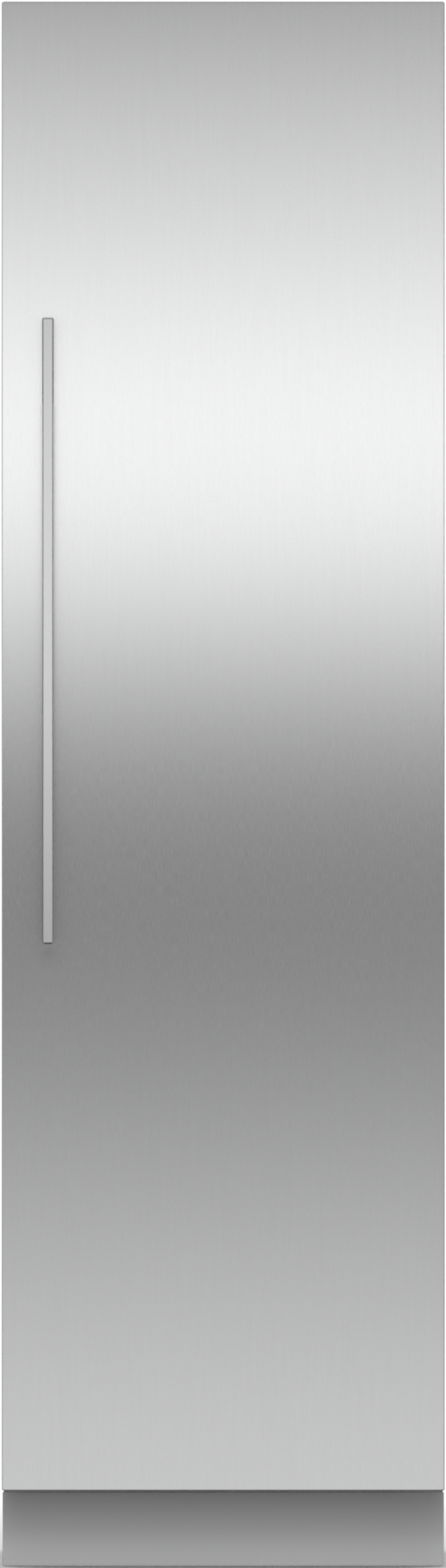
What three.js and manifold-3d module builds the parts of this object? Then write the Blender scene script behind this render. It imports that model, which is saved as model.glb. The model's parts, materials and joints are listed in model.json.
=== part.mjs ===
// A built-in column refrigerator with one tall stainless door, hinged on the right.
// Millimetres, +Z up, the front faces -Y. The origin is on the floor, under the centre of the object.
import * as THREE from "three";
import { mergeVertices } from "three/addons/utils/BufferGeometryUtils.js";
import Module from "manifold-3d";

const wasm = await Module();
wasm.setup();

// Driving sizes of the whole refrigerator
const overallHeight = 2134;
const doorPanelWidth = 603;
const doorPanelThickness = 20;
const doorBottomZ = 106.8;
const insulatedDoorThickness = 58;
const sealGap = 12;
const cabinetSideInset = 1.5;
const cabinetDepth = 540;
const cabinetTopDrop = 12;
const handleReach = 50;

// Clearances and stock shared by many pieces
const fitGap = 0.3;
const cutOverrun = 2;
const steelSheet = 1.2;
const plasticWall = 2.5;
const roundSides = 32;

// Cabinet walls
const sideWallThickness = 45;
const backWallThickness = 48;
const roofThickness = 53;
const floorThickness = 50;
const linerThickness = 2;
const machineRoomTopZ = 300;
const sideFloorGap = 8;
const frontFrameThickness = 1.5;

// Planes that every piece is placed from
const overallDepth =
  handleReach + doorPanelThickness + insulatedDoorThickness + sealGap + cabinetDepth;
const handleFrontY = -overallDepth / 2;
const panelFrontY = handleFrontY + handleReach;
const panelBackY = panelFrontY + doorPanelThickness;
const doorBackY = panelBackY + insulatedDoorThickness;
const cabinetFrontY = doorBackY + sealGap;
const cabinetBackY = cabinetFrontY + cabinetDepth;
const behindFrameY = cabinetFrontY + frontFrameThickness + fitGap;
const cabinetTopZ = overallHeight - cabinetTopDrop;
const underTopPanelZ = cabinetTopZ - steelSheet - fitGap;
const halfCabinet = doorPanelWidth / 2 - cabinetSideInset;
const halfInsideSides = halfCabinet - steelSheet - fitGap;
const halfCavity = halfCabinet - sideWallThickness;
const cavityFloorZ = machineRoomTopZ + floorThickness;
const cavityTopZ = cabinetTopZ - roofThickness;
const cavityBackY = cabinetBackY - backWallThickness;
const insideBackPanelY = cabinetBackY - steelSheet - fitGap;

// Base, feet and rollers
const basePanZ = 45;
const basePanFlange = 50;
const toeKickHeight = 101.1;
const toeKickFloorGap = 0.5;
const toeKickReturn = 14;
const footInsetX = 46;
const footInsetY = 44;
const footPadRadius = 20;
const footPadHeight = 8;
const footStemRadius = 6;
const footStemRise = 42;
const footBossRadius = 13;
const footBossHeight = 14;
const rollerRadius = 18;
const rollerWidth = 22;
const rollerInsetX = 60;
const rollerInsetY = 60;
const axleRadius = 4;
const bracketWall = 3;
const bracketLength = 34;

// Front frame and service grille
const frameAboveToeKick = 2;
const frameLowerRail = 16;
const frameUnderDeck = 12;
const grilleSideMargin = 66;
const grilleThickness = 6;
const grilleOverlap = 12;
const grilleSlotHeight = 7;
const grilleSlotPitch = 15;
const grilleSlotEnd = 20;

// Machine compartment
const compressorRadius = 68;
const compressorHeight = 172;
const compressorInsetX = 150;
const compressorInsetY = 150;
const compressorFootHeight = 14;
const compressorFootRadius = 11;
const compressorFootReach = 78;
const compressorPlate = 3;
const terminalBoxWidth = 46;
const terminalBoxDepth = 26;
const terminalBoxHeight = 58;
const pipeRadius = 4;
const pipeStub = 40;
const condenserWidth = 210;
const condenserDepth = 62;
const condenserHeight = 210;
const condenserInsetX = 24;
const condenserInsetY = 56;
const condenserFins = 22;
const finThickness = 2;
const finSpine = 8;
const condenserFanRadius = 84;
const shroudDepth = 30;
const shroudRim = 8;
const drainPanWidth = 220;
const drainPanDepth = 170;
const drainPanHeight = 36;
const drainPanInsetX = 30;
const drainPanInsetY = 40;
const inletWidth = 34;
const inletHeight = 26;
const inletDepth = 28;
const inletSocketWidth = 24;
const inletSocketHeight = 17;
const inletSocketDepth = 18;
const inletInsetX = 90;
const inletRiseZ = 70;
const inletFlange = 5;
const inletFlangeThickness = 3;
const ventSlotWidth = 6;
const ventSlotHeight = 90;
const ventSlotPitch = 18;
const ventSlotCount = 12;

// Cold compartment
const binReach = 105;
const binToShelfGap = 17;
const ductDepth = 42;
const ductHalfWidth = 190;
const ductSheet = 1.5;
const ductBottomRise = 24;
const ductTopDrop = 20;
const airSlotWidth = 120;
const airSlotHeight = 8;
const airSlotInset = 40;
const airSlotDrop = 60;
const lidRise = 24;
const shelfCount = 3;
const ribsPerSpacing = 4;
const ribsAboveTopShelf = 2;
const ribDepth = 8;
const ribHeight = 8;
const ribInset = 10;
const shelfSideGap = 3;
const shelfBackGap = 6;
const trimHeight = 12;
const trimSide = 14;
const trimFront = 24;
const glassThickness = 5;
const glassSeat = 4;
const lightStripWidth = 14;
const lightStripThickness = 3;
const lightStripInset = 30;
const lightStripRise = 60;
const lightStripDrop = 90;
const controlPanelWidth = 380;
const controlPanelDepth = 90;
const controlPanelHeight = 22;
const controlPanelInset = 62;

// Evaporator and its fan
const evaporatorWidth = 330;
const evaporatorHeight = 190;
const evaporatorRise = 30;
const evaporatorFins = 24;
const evaporatorFanRadius = 52;
const evaporatorFanRise = 74;
const fanHubShare = 0.3;
const fanBlades = 7;
const fanTipGap = 3;
const bladeThickness = 2;
const bladePitchDegrees = 32;
const bladeChordShare = 0.42;
const motorDepthShare = 0.35;
const shaftRadius = 3;
const strutWidth = 6;
const fanRunningGap = 1;
const fanGrilleSlots = 5;
const fanGrilleSlotHeight = 7;

// Drawers
const drawerHalfWidth = 194;
const drawerRim = 12;
const drawerRimThickness = 4;
const drawerHeight = 194;
const drawerFloorGap = 10;
const drawerStackGap = 18;
const drawerBackGap = 20;
const drawerFrontThickness = 14;
const drawerFrontDrop = 4;
const drawerGripWidth = 120;
const drawerGripHeight = 12;
const runnerPlate = 4;
const runnerLedge = 10;
const runnerLedgeOverlap = 10;
const runnerFrontInset = 20;
const sliderTravel = 70;
const sliderWidth = 18;
const sliderHeight = 8;
const sliderGrooveDepth = 6;
const sliderProud = 4;
const sliderDrop = 40;

// Door
const hingeInset = 20;
const hingeSetback = 32;
const doorShellSideInset = 2;
const doorShellBottomRise = 12.5;
const hingeRunningGap = 4;
const doorLinerThickness = 2.5;
const panelCornerRadius = 3;
const panelEdgeRadius = 1.5;
const panelLip = 18;
const dykeSideGap = 10;
const dykeFloorGap = 10;
const dykeTopGap = 35;
const dykeWidth = 22;
const dykeDepth = 22;
const gasketInset = 4.5;
const gasketWidth = 20;
const gasketFoot = 4;
const gasketBulbWidth = 14;

// Door bins
const binCount = 4;
const lowestBinRise = 40;
const binHeight = 96;
const binWall = 3;
const binLugReach = 7;
const binLugHeight = 9;
const binLugDepth = 19;

// Hinges
const hingePlateThickness = 5;
const hingeNose = 11.5;
const hingeArmWidth = 45;
const hingeTail = 70;
const hingeFrontLeg = 60;
const hingeLegThickness = 4;
const hingePinRadius = 5;
const hingePinHeadRadius = 9;
const hingePinHead = 3;
const hingeBoreGap = 0.4;
const capDepth = 30;
const capLeft = 26;
const capRight = 13;
const capBack = 24;
const capCollarRadius = 9;

// Handle
const handleSideInset = 63;
const handleTopDrop = 431.3;
const handleLength = 850;
const handleBarWidth = 14.2;
const handleBarDepth = 14;
const handleBarEdge = 1.4;
const handleEndEdge = 0.6;
const handleMountCorner = 1.8;
const handleTopMountWidth = 15.2;
const handleTopMountLength = 118.5;
const handleTopMountRise = 1.5;
const handleBottomMountWidth = 11;
const handleBottomMountLength = 56;
const handleBottomMountInset = 2;

// Derived places shared by several pieces
const toeKickTopZ = toeKickFloorGap + toeKickHeight;
const frameBottomZ = toeKickTopZ + frameAboveToeKick;
const basePanFrontY = cabinetFrontY + steelSheet + fitGap;
const grilleOpening = {
  halfWidth: halfCabinet - grilleSideMargin,
  bottomZ: frameBottomZ + frameLowerRail,
  topZ: machineRoomTopZ - frameUnderDeck,
};
const lowerDrawerZ = cavityFloorZ + drawerFloorGap;
const upperDrawerZ = lowerDrawerZ + drawerHeight + drawerStackGap;
const lidLevelZ = upperDrawerZ + drawerHeight + lidRise;
const shelfSpacing = (cavityTopZ - lidLevelZ) / (shelfCount + 1);
const shelfFrontY = doorBackY + binReach + binToShelfGap;
const ductFrontY = cavityBackY - ductDepth;
const ductInnerFrontY = ductFrontY + ductSheet;
const ductBottomZ = lidLevelZ + glassThickness + ductBottomRise;
const ductTopZ = cavityTopZ - ductTopDrop;
const shelfBackY = ductFrontY - shelfBackGap;
const pivotX = doorPanelWidth / 2 - hingeInset;
const pivotY = panelFrontY + hingeSetback;
const doorShellHalf = doorPanelWidth / 2 - doorShellSideInset;
const doorShellBottomZ = doorBottomZ + doorShellBottomRise;
const doorShellTopZ = cabinetTopZ - hingeRunningGap;
const doorShellFrontY = panelBackY + fitGap;
const doorShellBackY = doorBackY - doorLinerThickness - fitGap;
const dyke = {
  half: halfCavity - dykeSideGap,
  bottomZ: cavityFloorZ + dykeFloorGap,
  topZ: cavityTopZ - dykeTopGap,
  backY: doorBackY + dykeDepth,
};
const drawerFrontY = shelfFrontY;
const drawerBackY = cavityBackY - drawerBackGap;
const lowestBinZ = lidLevelZ + lowestBinRise;
const binSpacing = (dyke.topZ - lowestBinZ) / binCount;
const drawerOuterHalf = drawerHalfWidth + drawerRim;
const evaporatorBottomZ = ductBottomZ + evaporatorRise;
const evaporatorTopZ = evaporatorBottomZ + evaporatorHeight;
const evaporatorFanZ = evaporatorTopZ + evaporatorFanRise;
const condenserLeftX = -halfInsideSides + condenserInsetX;
const condenserFrontY = behindFrameY + condenserInsetY;
const inletX = halfCabinet - inletInsetX;
const inletZ = basePanZ + inletRiseZ;
const rollerX = halfCabinet - rollerInsetX;
const rollerY = cabinetBackY - rollerInsetY;
const footX = halfCabinet - footInsetX;
const footY = cabinetFrontY + footInsetY;
const basePanTopZ = basePanZ + steelSheet;
const handleCentreX = -doorPanelWidth / 2 + handleSideInset;
const handleTopZ = overallHeight - handleTopDrop;
const handleBottomZ = handleTopZ - handleLength;

// Finishes
const finish = (color, roughness, metalness) =>
  new THREE.MeshStandardMaterial({ color, roughness, metalness });
const stainless = finish(0xb4b5b6, 0.32, 1);
const satinHandle = finish(0xc4c5c7, 0.28, 1);
const paintedSteel = finish(0x9a9c9e, 0.55, 0.4);
const galvanised = finish(0xa9adb0, 0.45, 0.9);
const whitePlastic = finish(0xe9ebec, 0.35, 0);
const clearPlastic = finish(0xdfe6ea, 0.1, 0);
const glass = finish(0xd6e4e2, 0.05, 0);
const foam = finish(0xe6d9a8, 0.9, 0);
const darkRubber = finish(0x2c2d2f, 0.8, 0);
const paleRubber = finish(0xc9cbcc, 0.7, 0);
const blackPlastic = finish(0x1c1d1f, 0.5, 0);
const blackEnamel = finish(0x17181a, 0.4, 0.2);
const aluminium = finish(0xc7c9cb, 0.35, 1);
const board = finish(0xa58a63, 0.85, 0);
const zincSteel = finish(0xbfc2c4, 0.35, 1);

// Shape helpers

// A box between a low and a high corner.
function box(low, high) {
  const [width, depth, height] = high.map((value, i) => value - low[i]);
  return new THREE.BoxGeometry(width, depth, height).translate(
    (low[0] + high[0]) / 2,
    (low[1] + high[1]) / 2,
    (low[2] + high[2]) / 2,
  );
}

// A box that is centred left to right.
function centredBox(half, front, back, bottom, top) {
  return box([-half, front, bottom], [half, back, top]);
}

// A round bar along one axis, from one end to the other, about a centre given by the two other coordinates.
function rod(axis, radius, from, to, centre, sides = roundSides) {
  const bar = new THREE.CylinderGeometry(radius, radius, to - from, sides);
  const middle = (from + to) / 2;
  if (axis === "x") {
    return bar.rotateZ(-Math.PI / 2).translate(middle, centre[0], centre[1]);
  }
  if (axis === "y") {
    return bar.translate(centre[0], middle, centre[1]);
  }
  return bar.rotateX(Math.PI / 2).translate(centre[0], centre[1], middle);
}

// A closed geometry as a solid for cutting and joining.
function solidOf(geometry) {
  const bare = geometry.index ? geometry.toNonIndexed() : geometry.clone();
  bare.deleteAttribute("normal");
  bare.deleteAttribute("uv");
  const merged = mergeVertices(bare, 1e-4);
  return new wasm.Manifold(
    new wasm.Mesh({
      numProp: 3,
      vertProperties: merged.attributes.position.array,
      triVerts: new Uint32Array(merged.index.array),
    }),
  );
}

// The solid's surface as a geometry again.
function geometryOf(solid) {
  const mesh = solid.getMesh();
  const geometry = new THREE.BufferGeometry();
  geometry.setAttribute("position", new THREE.BufferAttribute(mesh.vertProperties, 3));
  geometry.setIndex(new THREE.BufferAttribute(mesh.triVerts, 1));
  geometry.computeVertexNormals();
  return geometry;
}

function join(...pieces) {
  return geometryOf(pieces.map(solidOf).reduce((whole, piece) => whole.add(piece)));
}

function cut(body, ...tools) {
  return geometryOf(tools.map(solidOf).reduce((rest, tool) => rest.subtract(tool), solidOf(body)));
}

// A rounded rectangle as a shape, between two opposite corners.
function roundedRectangle(left, low, right, high, radius) {
  const shape = new THREE.Shape();
  shape.moveTo(left + radius, low);
  shape.lineTo(right - radius, low);
  shape.absarc(right - radius, low + radius, radius, -Math.PI / 2, 0);
  shape.lineTo(right, high - radius);
  shape.absarc(right - radius, high - radius, radius, 0, Math.PI / 2);
  shape.lineTo(left + radius, high);
  shape.absarc(left + radius, high - radius, radius, Math.PI / 2, Math.PI);
  shape.lineTo(left, low + radius);
  shape.absarc(left + radius, low + radius, radius, Math.PI, Math.PI * 1.5);
  return shape;
}

// A shape in the floor plane, raised from a bottom to a top.
function raised(shape, bottom, top, curveSegments = 4) {
  const options = { depth: top - bottom, bevelEnabled: false, curveSegments };
  return new THREE.ExtrudeGeometry(shape, options).translate(0, 0, bottom);
}

// A plate that stands upright with rounded corners and a rounded edge round its front face.
function uprightPlate(half, front, back, bottom, top, cornerRadius, edgeRadius) {
  const inner = roundedRectangle(
    -half + edgeRadius,
    bottom + edgeRadius,
    half - edgeRadius,
    top - edgeRadius,
    cornerRadius - edgeRadius,
  );
  const bevelled = new THREE.ExtrudeGeometry(inner, {
    depth: back - front,
    bevelThickness: edgeRadius,
    bevelSize: edgeRadius,
    bevelSegments: 2,
    curveSegments: 2,
  });
  bevelled.rotateX(Math.PI / 2).translate(0, back + edgeRadius, 0);
  const behind = centredBox(
    half + cutOverrun,
    back,
    back + edgeRadius + cutOverrun,
    bottom - cutOverrun,
    top + cutOverrun,
  );
  return cut(bevelled, behind);
}

// A rectangular ring that stands upright, centred left to right.
function uprightRing(outerHalf, outerBottom, outerTop, border, front, back) {
  return cut(
    centredBox(outerHalf, front, back, outerBottom, outerTop),
    centredBox(
      outerHalf - border,
      front - cutOverrun,
      back + cutOverrun,
      outerBottom + border,
      outerTop - border,
    ),
  );
}

// A fin pack: upright fins on a spine along the back.
function finPack(width, depth, height, count) {
  const gap = (width - count * finThickness) / (count - 1);
  const shape = new THREE.Shape();
  shape.moveTo(0, depth);
  for (let i = 0; i < count; i += 1) {
    const left = i * (finThickness + gap);
    shape.lineTo(left, i === 0 ? 0 : depth - finSpine);
    if (i > 0) {
      shape.lineTo(left, 0);
    }
    shape.lineTo(left + finThickness, 0);
    if (i < count - 1) {
      shape.lineTo(left + finThickness, depth - finSpine);
    }
  }
  shape.lineTo(width, depth);
  return raised(shape, 0, height);
}

// A fan rotor on the Y axis: a bored hub with flat pitched blades.
function fanRotor(radius, depth) {
  const hubRadius = radius * fanHubShare;
  const hub = rod("y", hubRadius, -depth / 2, depth / 2, [0, 0]);
  const bladeLength = radius - fanTipGap - hubRadius / 2;
  const pitch = THREE.MathUtils.degToRad(bladePitchDegrees);
  const chord = Math.min(radius * bladeChordShare, (depth - bladeThickness) / Math.sin(pitch));
  const blades = [];
  for (let i = 0; i < fanBlades; i += 1) {
    const blade = new THREE.BoxGeometry(bladeLength, bladeThickness, chord);
    blade.rotateX(pitch);
    blade.translate(hubRadius / 2 + bladeLength / 2, 0, 0);
    blade.rotateY((i * 2 * Math.PI) / fanBlades);
    blades.push(blade);
  }
  const bore = rod("y", shaftRadius + fitGap, -depth, depth, [0, 0]);
  return cut(join(hub, ...blades), bore);
}

// A square fan shroud on the Y axis, with its motor, shaft and struts at the back.
function fanShroud(half, radius, depth) {
  const motorDepth = depth * motorDepthShare;
  const back = depth / 2;
  const plate = cut(
    box([-half, -back, -half], [half, back, half]),
    rod("y", radius, -depth, depth, [0, 0]),
  );
  const motor = rod("y", radius * fanHubShare, back - motorDepth, back, [0, 0]);
  const shaft = rod("y", shaftRadius, -back + fanRunningGap, back - motorDepth / 2, [0, 0]);
  const strutReach = radius + shroudRim / 2;
  const strutFront = back - motorDepth / 2;
  const level = box([-strutReach, strutFront, -strutWidth / 2], [strutReach, back, strutWidth / 2]);
  const upright = box([-strutWidth / 2, strutFront, -strutReach], [strutWidth / 2, back, strutReach]);
  return join(plate, motor, shaft, level, upright);
}

// The rotor's own depth inside a shroud, clear of the motor behind it.
function rotorDepth(depth) {
  return depth * (1 - motorDepthShare) - 2 * fanRunningGap;
}

// The rotor's centre sits ahead of the shroud's, by half of what the motor takes.
function rotorOffset(depth) {
  return -(depth * motorDepthShare) / 2;
}

// Piece list
const refrigerator = new THREE.Group();
const cabinet = new THREE.Group();
const door = new THREE.Group();
refrigerator.add(cabinet, door);

// Adds one named piece, placed in its group.
function piece(group, name, geometry, material, place = [0, 0, 0]) {
  const mesh = new THREE.Mesh(geometry, material);
  mesh.name = name;
  mesh.position.set(...place);
  group.add(mesh);
}

// Cabinet shell

function sidePanel(side) {
  const outer = side * halfCabinet;
  const inner = side * (halfCabinet - steelSheet);
  return box(
    [Math.min(outer, inner), behindFrameY, sideFloorGap],
    [Math.max(outer, inner), cabinetBackY, underTopPanelZ],
  );
}
piece(cabinet, "side_panel_left", sidePanel(-1), paintedSteel);
piece(cabinet, "side_panel_right", sidePanel(1), paintedSteel);
piece(
  cabinet,
  "top_panel",
  centredBox(halfCabinet, behindFrameY, cabinetBackY, cabinetTopZ - steelSheet, cabinetTopZ),
  paintedSteel,
);
piece(
  cabinet,
  "rear_panel",
  centredBox(
    halfInsideSides,
    cabinetBackY - steelSheet,
    cabinetBackY,
    machineRoomTopZ - steelSheet,
    underTopPanelZ,
  ),
  galvanised,
);
piece(
  cabinet,
  "deck_plate",
  centredBox(
    halfInsideSides,
    behindFrameY,
    insideBackPanelY,
    machineRoomTopZ - steelSheet,
    machineRoomTopZ,
  ),
  galvanised,
);

// Polyurethane core between the outer steel and the liner, open at the front.
function cabinetFoam() {
  const skin = linerThickness + fitGap;
  return cut(
    centredBox(
      halfInsideSides,
      behindFrameY,
      insideBackPanelY,
      machineRoomTopZ + fitGap,
      underTopPanelZ,
    ),
    centredBox(
      halfCavity + skin,
      behindFrameY - cutOverrun,
      cavityBackY + skin,
      cavityFloorZ - skin,
      cavityTopZ + skin,
    ),
  );
}
piece(cabinet, "cabinet_foam", cabinetFoam(), foam);

// Formed liner with shelf ribs down both sides.
function innerLiner() {
  const shell = cut(
    centredBox(
      halfCavity + linerThickness,
      behindFrameY,
      cavityBackY + linerThickness,
      cavityFloorZ - linerThickness,
      cavityTopZ + linerThickness,
    ),
    centredBox(halfCavity, behindFrameY - cutOverrun, cavityBackY, cavityFloorZ, cavityTopZ),
  );
  const ribPitch = shelfSpacing / ribsPerSpacing;
  const ribCount = shelfCount * ribsPerSpacing + ribsAboveTopShelf + 1;
  const ribs = [];
  for (let i = 0; i < ribCount; i += 1) {
    const top = lidLevelZ + i * ribPitch;
    for (const side of [-1, 1]) {
      const wall = side * (halfCavity + linerThickness / 2);
      const tip = side * (halfCavity - ribDepth);
      ribs.push(
        box(
          [Math.min(wall, tip), shelfFrontY + ribInset, top - ribHeight],
          [Math.max(wall, tip), shelfBackY, top],
        ),
      );
    }
  }
  return join(shell, ...ribs);
}
piece(cabinet, "inner_liner", innerLiner(), whitePlastic);

// Steel frame round the cabinet's front, which the door seal closes on.
function frontFrame() {
  const back = cabinetFrontY + frontFrameThickness;
  const cutFront = cabinetFrontY - cutOverrun;
  const cutBack = back + cutOverrun;
  return cut(
    centredBox(halfCabinet, cabinetFrontY, back, frameBottomZ, cabinetTopZ),
    centredBox(halfCavity, cutFront, cutBack, cavityFloorZ, cavityTopZ),
    centredBox(
      grilleOpening.halfWidth,
      cutFront,
      cutBack,
      grilleOpening.bottomZ,
      grilleOpening.topZ,
    ),
  );
}
piece(cabinet, "front_frame", frontFrame(), stainless);

// Base

// Folded base tray with foot bosses, and roller brackets with their axles.
function basePan() {
  const tray = cut(
    centredBox(halfInsideSides, basePanFrontY, insideBackPanelY, basePanZ, basePanZ + basePanFlange),
    centredBox(
      halfInsideSides - steelSheet,
      basePanFrontY + steelSheet,
      insideBackPanelY - steelSheet,
      basePanTopZ,
      basePanZ + basePanFlange + cutOverrun,
    ),
  );
  const additions = [];
  const bores = [];
  for (const side of [-1, 1]) {
    const x = side * footX;
    const bossTop = basePanTopZ + footBossHeight;
    additions.push(rod("z", footBossRadius, basePanZ, bossTop, [x, footY]));
    const boreRadius = footStemRadius + fitGap;
    bores.push(rod("z", boreRadius, basePanZ - cutOverrun, bossTop + cutOverrun, [x, footY]));
    for (const ear of [-1, 1]) {
      const inner = side * rollerX + ear * (rollerWidth / 2 + fitGap);
      const outer = inner + ear * bracketWall;
      additions.push(
        box(
          [Math.min(inner, outer), rollerY - bracketLength / 2, rollerRadius - 2 * axleRadius],
          [Math.max(inner, outer), rollerY + bracketLength / 2, basePanTopZ],
        ),
      );
    }
    const axleHalf = rollerWidth / 2 + fitGap + bracketWall / 2;
    const centre = side * rollerX;
    additions.push(
      rod("x", axleRadius, centre - axleHalf, centre + axleHalf, [rollerY, rollerRadius]),
    );
  }
  return cut(join(tray, ...additions), ...bores);
}
piece(cabinet, "base_pan", basePan(), galvanised);

// Plain stainless plinth, as wide as the door panel, with a return along its top.
function toeKick() {
  const front = cabinetFrontY;
  const outerHalf = doorPanelWidth / 2;
  const innerHalf = halfCabinet - steelSheet;
  const face = centredBox(outerHalf, front, front + steelSheet, toeKickFloorGap, toeKickTopZ);
  const topReturn = centredBox(
    innerHalf,
    front,
    front + toeKickReturn,
    toeKickTopZ - steelSheet,
    toeKickTopZ,
  );
  return join(face, topReturn);
}
piece(cabinet, "toe_kick", toeKick(), stainless);

function roller() {
  const halfWidth = rollerWidth / 2;
  return cut(
    rod("x", rollerRadius, -halfWidth, halfWidth, [0, 0]),
    rod("x", axleRadius + fitGap, -rollerWidth, rollerWidth, [0, 0]),
  );
}
piece(cabinet, "rear_roller_left", roller(), blackPlastic, [-rollerX, rollerY, rollerRadius]);
piece(cabinet, "rear_roller_right", roller(), blackPlastic, [rollerX, rollerY, rollerRadius]);

// Levelling foot: a pad with a threaded stem that rises through the boss in the base.
function levellingFoot() {
  const profile = [
    [0, 0],
    [footPadRadius, 0],
    [footPadRadius, footPadHeight / 2],
    [footStemRadius * 1.6, footPadHeight],
    [footStemRadius, footPadHeight],
    [footStemRadius, basePanTopZ + footStemRise],
    [0, basePanTopZ + footStemRise],
  ];
  const points = profile.map(([radius, height]) => new THREE.Vector2(radius, height));
  return new THREE.LatheGeometry(points, roundSides).rotateX(Math.PI / 2);
}
piece(cabinet, "front_foot_left", levellingFoot(), zincSteel, [-footX, footY, 0]);
piece(cabinet, "front_foot_right", levellingFoot(), zincSteel, [footX, footY, 0]);

// Louvred panel behind the lower opening of the front frame.
function serviceGrille() {
  const half = grilleOpening.halfWidth + grilleOverlap;
  const bottom = grilleOpening.bottomZ - grilleOverlap;
  const top = grilleOpening.topZ + frameUnderDeck / 2;
  const panel = centredBox(half, behindFrameY, behindFrameY + grilleThickness, bottom, top);
  const slots = [];
  const usable = grilleOpening.topZ - grilleOpening.bottomZ - grilleSlotHeight;
  const slotCount = Math.floor(usable / grilleSlotPitch);
  for (let i = 0; i < slotCount; i += 1) {
    const low = grilleOpening.bottomZ + grilleSlotHeight + i * grilleSlotPitch;
    slots.push(
      centredBox(
        grilleOpening.halfWidth - grilleSlotEnd,
        behindFrameY - cutOverrun,
        behindFrameY + grilleThickness + cutOverrun,
        low,
        low + grilleSlotHeight,
      ),
    );
  }
  return cut(panel, ...slots);
}
piece(cabinet, "service_grille", serviceGrille(), blackPlastic);

// Rear cover of the machine compartment, with vent slots and the hole for the power inlet.
function machineRoomCover() {
  const front = cabinetBackY - steelSheet;
  const slots = [];
  for (let i = 0; i < ventSlotCount; i += 1) {
    const left = -halfInsideSides / 2 - (ventSlotCount * ventSlotPitch) / 2 + i * ventSlotPitch;
    const low = (basePanZ + machineRoomTopZ - ventSlotHeight) / 2;
    slots.push(
      box(
        [left, front - cutOverrun, low],
        [left + ventSlotWidth, cabinetBackY + cutOverrun, low + ventSlotHeight],
      ),
    );
  }
  const inletHole = box(
    [inletX - inletWidth / 2 - fitGap, front - cutOverrun, inletZ - inletHeight / 2 - fitGap],
    [
      inletX + inletWidth / 2 + fitGap,
      cabinetBackY + cutOverrun,
      inletZ + inletHeight / 2 + fitGap,
    ],
  );
  const sheet = centredBox(
    halfInsideSides,
    front,
    cabinetBackY,
    basePanZ,
    machineRoomTopZ - steelSheet - fitGap,
  );
  return cut(sheet, ...slots, inletHole);
}
piece(cabinet, "machine_room_cover", machineRoomCover(), galvanised);

// Power inlet: a socket body that fills the hole in the cover, with a flange behind the sheet.
function powerInlet() {
  const flangeY = cabinetBackY - steelSheet - fitGap;
  const body = box(
    [inletX - inletWidth / 2, cabinetBackY - inletDepth, inletZ - inletHeight / 2],
    [inletX + inletWidth / 2, cabinetBackY, inletZ + inletHeight / 2],
  );
  const flange = box(
    [
      inletX - inletWidth / 2 - inletFlange,
      flangeY - inletFlangeThickness,
      inletZ - inletHeight / 2 - inletFlange,
    ],
    [
      inletX + inletWidth / 2 + inletFlange,
      flangeY,
      inletZ + inletHeight / 2 + inletFlange,
    ],
  );
  const socket = box(
    [
      inletX - inletSocketWidth / 2,
      cabinetBackY - inletSocketDepth,
      inletZ - inletSocketHeight / 2,
    ],
    [
      inletX + inletSocketWidth / 2,
      cabinetBackY + cutOverrun,
      inletZ + inletSocketHeight / 2,
    ],
  );
  return cut(join(body, flange), socket);
}
piece(cabinet, "power_inlet", powerInlet(), blackPlastic);

// Machine compartment

// Hermetic compressor: a domed shell on a plate with four grommets, pipe stubs and a terminal box.
function compressor() {
  const shellBottom = compressorFootHeight;
  const shellTop = shellBottom + compressorHeight;
  const shoulder = compressorRadius * 0.55;
  const profile = [
    [0, shellBottom],
    [shoulder, shellBottom],
    [compressorRadius, shellBottom + compressorRadius / 3],
    [compressorRadius, shellTop - compressorRadius / 2],
    [compressorRadius * 0.9, shellTop - compressorRadius / 4],
    [shoulder, shellTop - compressorRadius / 12],
    [0, shellTop],
  ];
  const points = profile.map(([radius, height]) => new THREE.Vector2(radius, height));
  const shell = new THREE.LatheGeometry(points, roundSides).rotateX(Math.PI / 2);
  const reach = compressorFootReach;
  const plate = box(
    [-reach, -reach * 0.7, shellBottom - compressorPlate],
    [reach, reach * 0.7, shellBottom + compressorPlate],
  );
  const feet = [];
  for (const x of [-1, 1]) {
    for (const y of [-1, 1]) {
      const centre = [
        x * (reach - compressorFootRadius),
        y * (reach * 0.7 - compressorFootRadius),
      ];
      feet.push(rod("z", compressorFootRadius, 0, shellBottom, centre, roundSides / 2));
    }
  }
  const boxMiddle = shellBottom + compressorHeight / 2;
  const terminalBox = box(
    [-terminalBoxWidth / 2, -compressorRadius - terminalBoxDepth, boxMiddle - terminalBoxHeight / 2],
    [terminalBoxWidth / 2, -compressorRadius / 2, boxMiddle + terminalBoxHeight / 2],
  );
  const stubs = [boxMiddle / 2, boxMiddle].map((height) =>
    rod(
      "x",
      pipeRadius,
      -compressorRadius - pipeStub,
      -compressorRadius / 2,
      [0, height],
      roundSides / 3,
    ),
  );
  return join(shell, plate, terminalBox, ...feet, ...stubs);
}
piece(cabinet, "compressor", compressor(), blackEnamel, [
  halfCabinet - compressorInsetX,
  cabinetBackY - compressorInsetY,
  basePanTopZ + fitGap,
]);
piece(
  cabinet,
  "condenser",
  finPack(condenserWidth, condenserDepth, condenserHeight, condenserFins),
  blackEnamel,
  [condenserLeftX, condenserFrontY, basePanTopZ + fitGap],
);
const condenserFanX = condenserLeftX + condenserWidth / 2;
const condenserShroudHalf = condenserFanRadius + shroudRim;
const condenserFanZ = basePanTopZ + fitGap + condenserShroudHalf;
const condenserShroudY = condenserFrontY + condenserDepth + fitGap + shroudDepth / 2;
piece(
  cabinet,
  "condenser_fan_shroud",
  fanShroud(condenserShroudHalf, condenserFanRadius, shroudDepth),
  blackPlastic,
  [condenserFanX, condenserShroudY, condenserFanZ],
);
piece(
  cabinet,
  "condenser_fan",
  fanRotor(condenserFanRadius, rotorDepth(shroudDepth)),
  blackPlastic,
  [condenserFanX, condenserShroudY + rotorOffset(shroudDepth), condenserFanZ],
);

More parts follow.
